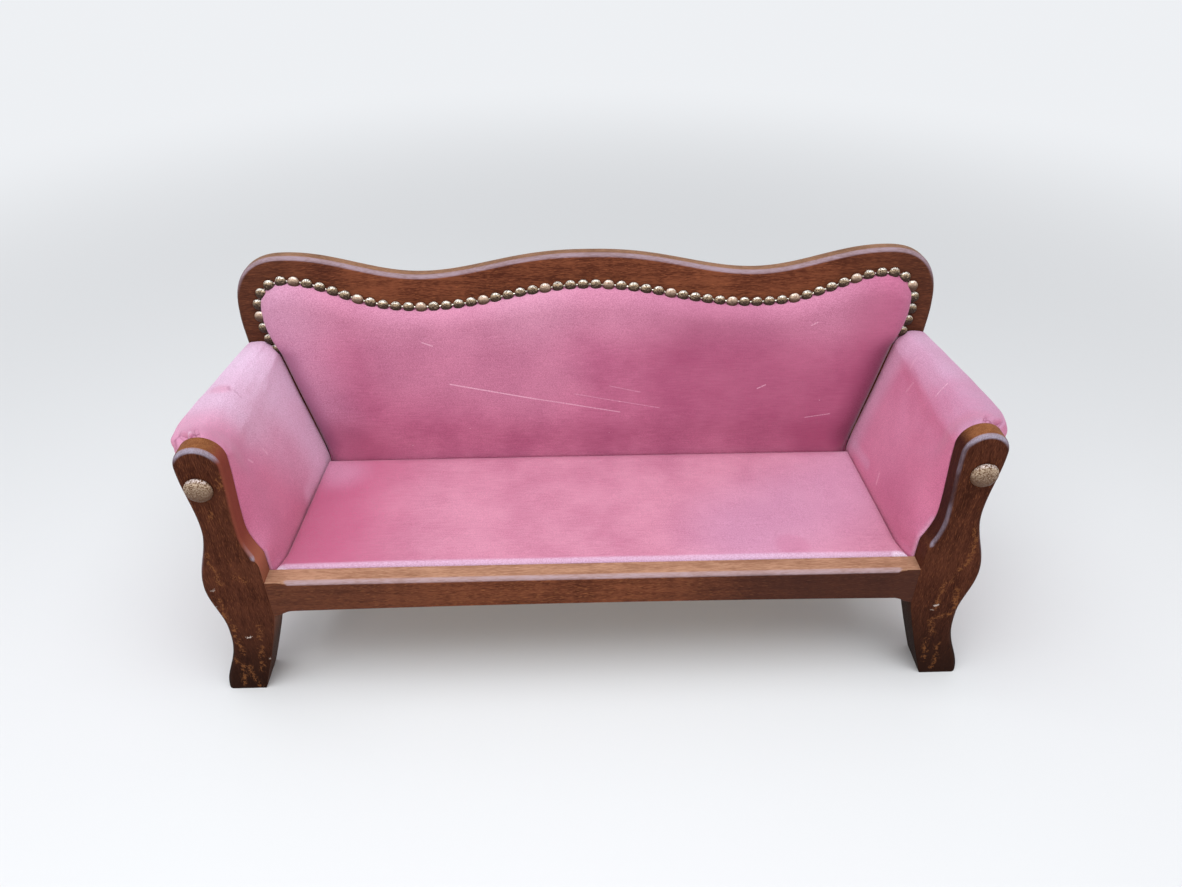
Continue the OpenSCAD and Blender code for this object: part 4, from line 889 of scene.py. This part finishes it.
def back_place(i, j, deep):
    """One place on the back; the last row and the outer columns are its flat rim"""
    v = crowd(min(1, i / (back_rows - 1)))
    u = crowd(clamp((j - 1) / (back_cols - 2))) * 2 - 1
    flat = 0 if i == back_rows else edge_w
    side_h = mix(cover_low, velvet_top(corner_x) - flat, v)
    x = u * pad_side(side_h) if 0 < j < back_cols else (-1 if j == 0 else 1) * velvet_side(side_h)
    top = velvet_top(abs(x))
    h = mix(cover_low, top - flat, v)
    full = mix(back_proud, back_crown, ease(clamp(h / crown_rise)))
    shape = swell((pad_side(h) - abs(x)) / back_roll) * swell((top - edge_w - h) / back_roll) \
        * swell((h - cover_low) / foot_roll)
    drift = 0.7 * drift_at(x / 70, h / 60, 3.1) + 0.25 * drift_at(x / 24, h / 24, 8.3)
    proud = velvet_t + max(0, (full - velvet_t) * shape) + drift * shape
    return on_board(x, -max(proud - deep, 0), h)


def back_grid(deep):
    return [[back_place(i, j, deep) for j in range(back_cols + 1)] for i in range(back_rows + 1)]


# Back washes: the rose ones along the top are painted light and the lilac one down the left edge painted
# sheen; the deep rose ones low and to the right and the two dark lines along the seams with the arms are
# painted shade and shadow; the thin pale lines are pressed marks in the nap.
back_strokes = [
    (-280, 330, -60, 330, 12, 60, 0.55, ROSE), (-60, 322, 250, 312, 10, 55, 0.5, ROSE),
    (-320, 330, -300, 200, 10, 70, 0.5, LILAC), (-180, 262, -60, 240, 20, 60, 0.35, ROSE),
    (120, 250, 300, 170, 20, 90, 0.5, DEEP_ROSE), (-270, 170, -240, 150, 5, 35, 0.5, DEEP_ROSE),
    (285, 300, 300, 190, 6, 40, 0.5, DEEP_ROSE), (240, 160, 290, 160, 5, 30, 0.5, DEEP_ROSE),
    (-306, 262, -284, 165, 3, 20, 0.5, (130, 74, 108)), (306, 255, 282, 165, 3, 30, 0.8, (108, 40, 70)),
    (-143, 233, -56, 214, 0.35, 0.5, 0.8, PALE), (-56, 214, 32, 197, 0.3, 0.5, 0.65, PALE),
    (-15, 219, 74, 201, 0.25, 0.4, 0.35, PALE), (21, 228, 53, 220, 0.25, 0.4, 0.35, PALE),
    (-167, 280, -157, 276, 0.4, 0.5, 0.6, PALE), (175, 222, 183, 226, 0.4, 0.5, 0.6, PALE),
    (223, 292, 229, 295, 0.4, 0.5, 0.5, PALE), (229, 186, 255, 190, 0.3, 0.5, 0.5, PALE)]
back_velvet = rose_velvet("back_velvet", deep=(168, 86, 120), rose=(200, 120, 150),
                          strokes=square_to(1, back_strokes))
back_piece = make_piece("back_cushion", *slab(back_grid(0), back_grid(back_deep)), back_velvet, "frame",
                        "velvet", ["back_cover", "back_pad"], sharp=70)

# Nail strip and its nails
# A pressed strip of hammered brass-look heads joined by small necks hides the velvet's edge; every
# fifth head is a real nail that pins the strip, smoother and more coppery than its neighbours.
head_pitch, head_d, head_h, nail_shift, nail_foot_h = 12.48, 11, 3.8, -4.9, crest_low + 6.8
side_steps, top_steps, nail_every, first_nail = 8, 60, 5, 3
nail_half = [(nail_side(h), h) for h in (mix(nail_foot_h, nail_turn_h, i / side_steps)
                                         for i in range(side_steps))]
nail_half += [round_point(nail_ear_x, nail_turn_h, nail_turn, a) for a in range(0, 82, 9)]
nail_half += [(x, nail_height(x)) for x in (nail_ear_x * i / top_steps for i in range(top_steps, 0, -1))]
nail_line = [(-x, h) for x, h in nail_half] + [(0, nail_height(0))] + nail_half[::-1]
nail_arc = [0]
for (x0, h0), (x1, h1) in zip(nail_line, nail_line[1:]):
    nail_arc.append(nail_arc[-1] + math.hypot(x1 - x0, h1 - h0))
nail_count = int(nail_arc[-1] // head_pitch) + 1
nail_start = (nail_arc[-1] - (nail_count - 1) * head_pitch) / 2 + nail_shift
nail_at = [[lookup(nail_start + k * head_pitch, [(a, p[axis]) for a, p in zip(nail_arc, nail_line)])
            for axis in (0, 1)] for k in range(nail_count)]


def nail_head(x, h, d, proud, base, dents, seed, turns=28, steps=8):
    """A domed head on the board, its face dented by hammering"""
    points = []
    profile = [(d / 2 * 0.94, 0)] + [(d / 2 * math.cos(a) ** 0.75, 0.18 * proud + 0.82 * proud * math.sin(a))
                                     for a in (math.pi / 2 * k / steps for k in range(steps))]
    for r, y in profile:
        for k in range(turns):
            a = 2 * math.pi * k / turns
            across, up = r * math.cos(a), r * math.sin(a)
            place = Vector((across, seed * 3.7, up))
            dent = dents * drift_at(*place * 0.62) + dents * 0.6 * drift_at(*place * 1.4)
            points.append((x + across, -base - y - dent * min(1, y / proud * 2), h + up))
    points.append((x, -base - proud - dents * drift_at(0, seed * 3.7, 0), h))
    last = (len(profile) - 1) * turns
    faces = ring_faces(len(profile), turns)
    faces += [(last + i, last + (i + 1) % turns, len(points) - 1) for i in range(turns)]
    faces.append(tuple(range(turns - 1, -1, -1)))
    return points, faces


def join_parts(parts):
    points, faces = [], []
    for more, rest in parts:
        faces += [tuple(i + len(points) for i in f) for f in rest]
        points += more
    return points, faces


def neck(a, b):
    """The flat little bridge between two heads of the strip"""
    run = Vector((b[0] - a[0], b[1] - a[1])).normalized()
    mid, across = Vector(((a[0] + b[0]) / 2, (a[1] + b[1]) / 2)), Vector((-run[1], run[0]))
    rings = []
    for s, half in ((-2.6, 1.5), (-1, 1.0), (1, 1.0), (2.6, 1.5)):
        c = mid + run * s
        rings.append([(c[0] + across[0] * w, -velvet_t - y, c[1] + across[1] * w)
                      for w, y in ((half, 0), (half * 0.35, 1.3), (-half * 0.35, 1.3), (-half, 0))])
    return skin(rings)


# Both brasses carry a painted glint on top and painted shade on their lower side
strip_brass = aged_metal("strip_brass", (66, 46, 32), (190, 164, 132), 0.4, 0.36, (0.48, 0.58), 1050,
                         (42, 26, 18), glint=(255, 250, 238), shade_facing=(0.02, 0.58))
nail_brass = aged_metal("nail_brass", (128, 100, 82), (186, 160, 138), 0.4, 0.36, (0.5, 0.66), 800,
                        (68, 44, 32), glint=(240, 222, 208), shade_facing=(-0.05, 0.48))
is_nail = [k % nail_every == first_nail for k in range(nail_count)]
strip_parts = [nail_head(x, h, head_d, head_h, velvet_t, 0.34, k)
               for k, (x, h) in enumerate(nail_at) if not is_nail[k]]
strip_parts += [neck(a, b) for a, b in zip(nail_at, nail_at[1:])]
points, faces = join_parts(strip_parts)
make_piece("nail_strip_brass", [on_board(*p) for p in points], faces, strip_brass, "frame", "old_brass",
           ["nail_strip"], sharp=60)
points, faces = join_parts([nail_head(x, h, head_d + 0.4, head_h, velvet_t + 0.5, 0.1, k)
                            for k, (x, h) in enumerate(nail_at) if is_nail[k]])
make_piece("strip_nail_heads", [on_board(*p) for p in points], faces, nail_brass, "frame", "old_brass",
           ["strip_nails"], sharp=60)

# Dome nails
# One large dome nail on the head of each front leg, its face hammered and its brass dull, painted
# paler on top as a glint and darker on its lower side as shade.
dome_d, dome_proud, dome_in, dome_z = 24, 6.5, 36.5, 255
dome_brass = aged_metal("dome_brass", (104, 74, 50), (176, 154, 132), 0.4, 0.42, (0.46, 0.58), 760,
                        (92, 64, 46), glint=(206, 190, 184), shade_facing=(-0.3, 0.42))
domes = [nail_head(s * (foot_x - dome_in), 0, dome_d, dome_proud, 0, 0.3, s, 60, 16) for s in (-1, 1)]
points, faces = join_parts(domes)
make_piece("dome_nail_heads", [(x, front_y + y, dome_z + z) for x, y, z in points], faces, dome_brass,
           "frame", "old_brass", ["dome_nails"], sharp=60)

# Arms
# Velvet drawn over a wadded web and arm rail, pleated where it gathers round the head of the leg
# and tucked into the step behind it. Inside it runs down behind the seat.


arm_steps, arm_rows, front_crowding = 9, 96, 1.45
pleat_run, pleat_start, pad_fade, gather_from, gather_to, gather = 0.09, 0.012, 0.05, 4.8, 9.8, 1.1
pad_share = [(0, 1), (9, 1), (10, 0.6), (11, 0.12), (12, 0)]
# Each pleat: where it lies round the section, its width and its depth
pleats = {
    -1: [(8.15, 0.26, 4), (7.05, 0.2, 5), (7.6, 0.28, -2.4), (8.7, 0.3, -2), (9.2, 0.24, 2.2),
         (5.6, 0.35, 0.8)],
    1: [(7.15, 0.16, 4), (8.3, 0.16, 3.6), (7.7, 0.28, -1.2), (8.8, 0.2, 1.6), (5.8, 0.35, 0.7)]}


def arm_grid(side, inner):
    """Rows of places over the arm, and how deep in a pleat each one lies. The inner grid is smooth
    and lies below the velvet and the wadding"""
    grid, creases = [], []
    for i in range(arm_rows + 1):
        t = (i / arm_rows) ** front_crowding
        curve = [beside_leg(p, t) if k <= inner_keys * arm_steps else p
                 for k, p in enumerate(spline(arm_key(t), arm_steps))]
        n, row = len(curve), []
        inner_pad = pad_t * ease(clamp((t - pad_from) / pad_fade))
        for k, p in enumerate(curve):
            way = (curve[min(k + 1, n - 1)] - curve[max(k - 1, 0)]).normalized()
            key = k / arm_steps
            into, crease = velvet_t + inner_pad * lookup(key, pad_share), 0
            if not inner:
                reach = math.exp(-(t / pleat_run) ** 1.6) * clamp(t / pleat_start)
                crease = sum(h * reach * math.exp(-((key - c) / w) ** 2) for c, w, h in pleats[side])
                into = crease - gather * reach * ease(clamp(key - gather_from)) * ease(clamp(gather_to - key))
                ease_in = clamp(t / 0.05) * clamp((1 - t) / 0.04) * clamp(key) * clamp(12 - key)
                into -= ease_in * (0.8 * drift_at(key * 0.9, t * 3.2, side * 5)
                                   + 0.35 * drift_at(key * 2.4, t * 9, side * 9))
            x, z = p[0] + way[1] * into, p[1] - way[0] * into
            if k in (0, n - 1):
                z = p[1]
            row.append((side * x, mix(stump_y + snug, plane_y(z) - velvet_t - snug, t), z))
            creases.append(clamp(crease / 3))
        grid.append(row)
    return grid, creases


BLUSH = (204, 124, 152)
# Inner arm washes: the wide pale and lilac ones over the upper and rear parts of each inner face are painted
# light and sheen, and the rose ones near the front tone them down; the narrow pale lines along the leg's edge
# and the seat make the velvet paler there, and the small pale marks are pressed nap.
inner_strokes = {
    -1: [(-60, 286, 60, 256, 8, 46, 0.65, LIT_PALE), (44, 262, 70, 160, 16, 46, 0.85, (226, 196, 220)),
         (-10, 250, 26, 180, 14, 50, 0.5, (226, 190, 214)), (-108, 296, -80, 284, 8, 36, 0.6, BLUSH),
         (0, 150, 66, 152, 2, 14, 0.5, (232, 190, 216)), (-70, 246, -66, 240, 0.4, 1, 0.6, PALE),
         (-40, 236, -38, 228, 0.4, 1.3, 0.5, PALE), (-104, 166, -104, 146, 0.5, 4, 0.5, LILAC)],
    1: [(0, 300, 62, 288, 8, 30, 0.7, LILAC), (66, 280, 70, 160, 4, 26, 0.6, LILAC),
        (-118, 322, -30, 306, 5, 22, 0.7, (206, 128, 158)), (0, 200, 60, 190, 10, 50, 0.35, (216, 146, 176)),
        (36, 276, 30, 268, 0.4, 2, 0.2, PALE), (12, 262, 16, 250, 0.4, 1.6, 0.25, PALE),
        (-8, 168, -10, 156, 0.4, 1.6, 0.4, PALE), (20, 158, 60, 154, 1, 8, 0.4, LILAC),
        (-106, 190, -104, 146, 0.2, 6, 0.5, (224, 186, 210))]}
# On the arm tops the thin dark crease lines are painted shade in the pleats round the leg heads
top_strokes = {
    -1: [(-341, -15, -335, -17, 2, 9, 0.5, (204, 128, 156)), (-331, -13, -329, -17, 0.2, 2.4, 0.35, CREASE),
         (-326, -15, -320, -19, 0.1, 1.8, 0.25, CREASE), (-320, -88, -310, -78, 4, 22, 0.5, (192, 116, 146)),
         (-347, -88, -351, -94, 0.1, 1.8, 0.4, CREASE), (-351, -94, -348, -102, 0.1, 1.8, 0.5, CREASE),
         (-332, -104, -329, -97, 0.3, 1.8, 0.7, CREASE), (-338, -103, -335, -97, 0.3, 2, 0.35, LINT)],
    1: [(316, -31, 326, -26, 0.2, 0.8, 0.5, PALE), (320, -84, 330, -88, 3, 14, 0.5, (206, 130, 158)),
        (334, -104, 330, -98, 0.2, 1.6, 0.65, CREASE), (347, -104, 345, -98, 0.2, 1.5, 0.55, CREASE),
        (338, -104, 343, -102, 0.3, 2, 0.35, LINT)]}
# Each arm's top colour and sheen weight: the colour is painted sheen and light, partly fading
arm_lit_top = {-1: ((190, 154, 180), 0.24), 1: ((184, 146, 172), 0.2)}
for side, word in SIDES:
    lit_and_faded, sheen = arm_lit_top[side]
    arm_velvet = rose_velvet("arm_velvet_" + word, deep=(192, 102, 136), rose=(214, 127, 158),
                             strokes=[*square_to(0, inner_strokes[side]), *square_to(2, top_strokes[side])],
                             lit_and_faded=lit_and_faded, sheen=sheen)
    (outer, creases), (under, flat) = arm_grid(side, False), arm_grid(side, True)
    # The pleat depths go to the velvet, which paints shade into the folds
    arm = make_piece("arm_cushion_" + word, *slab(outer, under), arm_velvet, "frame", "velvet",
                     ["arm_cover_" + word, "arm_pad_" + word], creases + flat, sharp=75)

# Outside of the arms
# A flat piece of the same velvet closes each arm on the outside, from the arm rail down to the
# side rail.
side_t, side_gap = 18, velvet_t + pad_t + web_t
side_front = mix(lap_front, lap_back, (leg_back_y - stump_y) / (back_y - stump_y)) + side_gap
side_back = lap_back + side_gap


def side_out(y):
    return mix(side_front, side_back, (y - leg_back_y) / (back_y - leg_back_y)) + side_t + 0.1


hip_rows, free_rows, skirt_rows, outside_cols, outside_slack = 8, 20, 4, 40, 1.0


def outside_grid(side, grow):
    low_z, hip_z, skirt_out, grid = rail_low + 1, rail_low + rail_h - 4, arm_rail_in + arm_rail_t, []
    for i in range(hip_rows + free_rows + skirt_rows + 1):
        row = []
        for j in range(outside_cols + 1):
            y = mix(leg_back_y + snug, plane_y(hip_z + i * 3) - snug, j / outside_cols)
            rail_z = arm_rail_line(y) - arm_rail_h
            free = clamp((i - hip_rows) / free_rows)
            if i <= hip_rows:
                z = mix(low_z, hip_z, i / hip_rows)
            elif i <= hip_rows + free_rows:
                z = mix(hip_z, rail_z, free)
            else:
                skirt_z = arm_rail_line(y) - arm_rail_h * skirt_share - snug
                z = mix(rail_z, skirt_z, (i - hip_rows - free_rows) / skirt_rows)
            x = mix(side_out(y), skirt_out, free)
            x += outside_slack * math.sin(math.pi * free) * drift_at(y / 45, z / 50, side * 4)
            row.append((side * (x + grow), y, z))
        grid.append(row)
    return grid


outside_velvet = rose_velvet("outside_velvet", deep=(168, 86, 120), rose=(204, 124, 154))
for side, word in SIDES:
    solid = slab(outside_grid(side, velvet_t), outside_grid(side, 0))
    cloth = make_piece("outside_arm_%s_velvet" % word, *solid, outside_velvet, "frame", "velvet",
                       ["outside_arm_" + word], sharp=60)

# Seat
# A ply board with wadding and velvet, the velvet turned under and stapled. It drops in between the
# rail, the arms and the back, and lifts out. A narrow band along its front edge is painted paler.
seat_low, seat_board_t, seat_edge_z, seat_top_z, seat_play, turn_under = 128.2, 6, 144.6, 149, 1.2, 14
seat_crowning, seat_roll, seat_roll_drop, seat_rows, seat_cols = 25, 9, 5, 70, 170
seat_front_y = front_y + rail_t + seat_play * 0.6
seat_back_y = back_y - back_proud / math.cos(rake) - seat_play


def lap(y):
    """Half the width between the arms, which open to the legs' edges at the front"""
    t = (y - stump_y) / (back_y - stump_y)
    return mix(rail_x - velvet_t - snug, mix(lap_front, lap_back, t), puffed(t))


def seat_place(u, v, inside):
    y0, y1 = seat_front_y + inside, seat_back_y - inside
    y = mix(y0, y1, v)
    half = lap(y) - seat_play - inside
    x = half * u
    near = min(half - abs(x), y - y0, y1 - y)
    dome = (seat_top_z - seat_edge_z) * (1 - abs(u) ** 3) * math.sin(math.pi * v)
    drift = 0.8 * drift_at(x / 80, y / 60, 5) + 0.3 * drift_at(x / 26, y / 26, 7)
    drift = swell(near / seat_crowning) * drift
    return x, y, seat_edge_z - seat_roll_drop * (1 - swell(near / seat_roll)) + dome + drift - inside


def seat_grid(inside):
    return [[seat_place(crowd(j / seat_cols) * 2 - 1, crowd(i / seat_rows), inside)
             for j in range(seat_cols + 1)] for i in range(seat_rows + 1)]


row_run = seat_cols + 1
points = [p for row in seat_grid(0) for p in row]
faces = [(a, a + 1, a + row_run + 1, a + row_run)
         for a in (i * row_run + j for i in range(seat_rows) for j in range(seat_cols))]
round_edge = [(0, j) for j in range(seat_cols)] + [(i, seat_cols) for i in range(seat_rows)]
round_edge += [(seat_rows, j) for j in range(seat_cols, 0, -1)] + [(i, 0) for i in range(seat_rows, 0, -1)]
flange = seat_low - velvet_t
# Each step: how far inside the edge the velvet and then the board lie, and at what height
loops = [(0, seat_edge_z - 8), (0, flange + 1.5), (0.6, flange + 0.4), (1.5, flange), (turn_under, flange),
         (turn_under, seat_low), (velvet_t + 0.1, seat_low), (velvet_t + 0.1, seat_low + seat_board_t)]
edge = [i * row_run + j for i, j in round_edge]
for inside, z in loops:
    grid = seat_grid(inside)
    ids = list(range(len(points), len(points) + len(edge)))
    points += [(*grid[i][j][:2], z) for i, j in round_edge]
    faces += [(edge[k - 1], ids[k - 1], ids[k], edge[k]) for k in [*range(1, len(ids)), 0]]
    edge = ids
faces.append(tuple(edge))
# Seat washes: the deep rose one at the left end and the line along the back seam are painted shade, and the
# pale lilac one on the right is painted light; the pale wash at the rear left corner and the band along the
# front edge make the velvet paler there; the rest are marks and lint.
seat_strokes = [
    (-280, -90, -276, 50, 26, 100, 0.95, (180, 86, 120)), (150, -70, 290, 20, 10, 90, 0.6, (198, 150, 180)),
    (-200, 66, 260, 66, 2, 14, 0.4, DEEP_ROSE), (186, -86, 192, -88, 9, 8, 0.35, (186, 104, 136)),
    (-290, 64, -262, 40, 2, 40, 0.5, (210, 164, 190)),
    (-300, seat_front_y, 300, seat_front_y, 5, 3.5, 0.85, (212, 180, 204)),
    (-297, seat_front_y + 3, -288, seat_front_y, 1, 4, 0.7, LINT),
    (284, seat_front_y + 3, 297, seat_front_y + 2, 1.5, 4, 0.7, LINT)]
seat_velvet = rose_velvet("seat_velvet", deep=(184, 112, 138), rose=(210, 144, 166),
                          strokes=square_to(2, seat_strokes))
seat = make_piece("seat_cushion", points, faces, seat_velvet, "seat", "velvet", ["seat_cover", "seat_pad"],
                  sharp=60)

# Cloth on the back of the frame
# Plain dark cotton tacked over the open frame behind the upholstery, a little slack between its
# tacks, with a coarse weave and old stains.
cloth_half, cloth_low, cloth_top = post_in + post_w * 0.55, -rail_h + 8, crest_low + 33.6
cloth_rows, cloth_cols, cloth_slack, thread_pitch = 24, 80, 0.7, 0.0009
cloth_finish, tree, shader = new_finish("backing_cotton")
coords = object_place(tree)
threads = [maths(tree, "SINE", times(tree, xyz(tree, coords)[axis], 2 * math.pi / thread_pitch))
           for axis in ("X", "Z")]
weave = times(tree, *threads)
stain = mottled(tree, coords, 9, 5)
cloth_tone = maths(tree, "ADD", ranged(tree, stain, 0.3, 0.7), times(tree, weave, 0.25))
fill(tree, shader, {"Base Color": tinted(tree, cloth_tone, (62, 54, 48), (104, 92, 80)),
                    "Roughness": ranged(tree, stain, 0.2, 0.8, 0.85, 1),
                    "Normal": bumped(tree, weave, 0.4, 0.0003)})


def cloth_grid(deep):
    grid = []
    for i in range(cloth_rows + 1):
        h = mix(cloth_low, cloth_top, i / cloth_rows)
        row = []
        for j in range(cloth_cols + 1):
            x = mix(-cloth_half, cloth_half, j / cloth_cols)
            slack = cloth_slack * drift_at(x / 60, h / 30, 2) * swell(i / 4) * swell((cloth_rows - i) / 4)
            row.append(on_board(x, board_t + deep + max(0, slack), h))
        grid.append(row)
    return grid


cloth = make_piece("outside_back_cotton", *slab(cloth_grid(velvet_t), cloth_grid(0)), cloth_finish, "frame",
                   "backing_cloth", ["outside_back_cloth"], sharp=60)
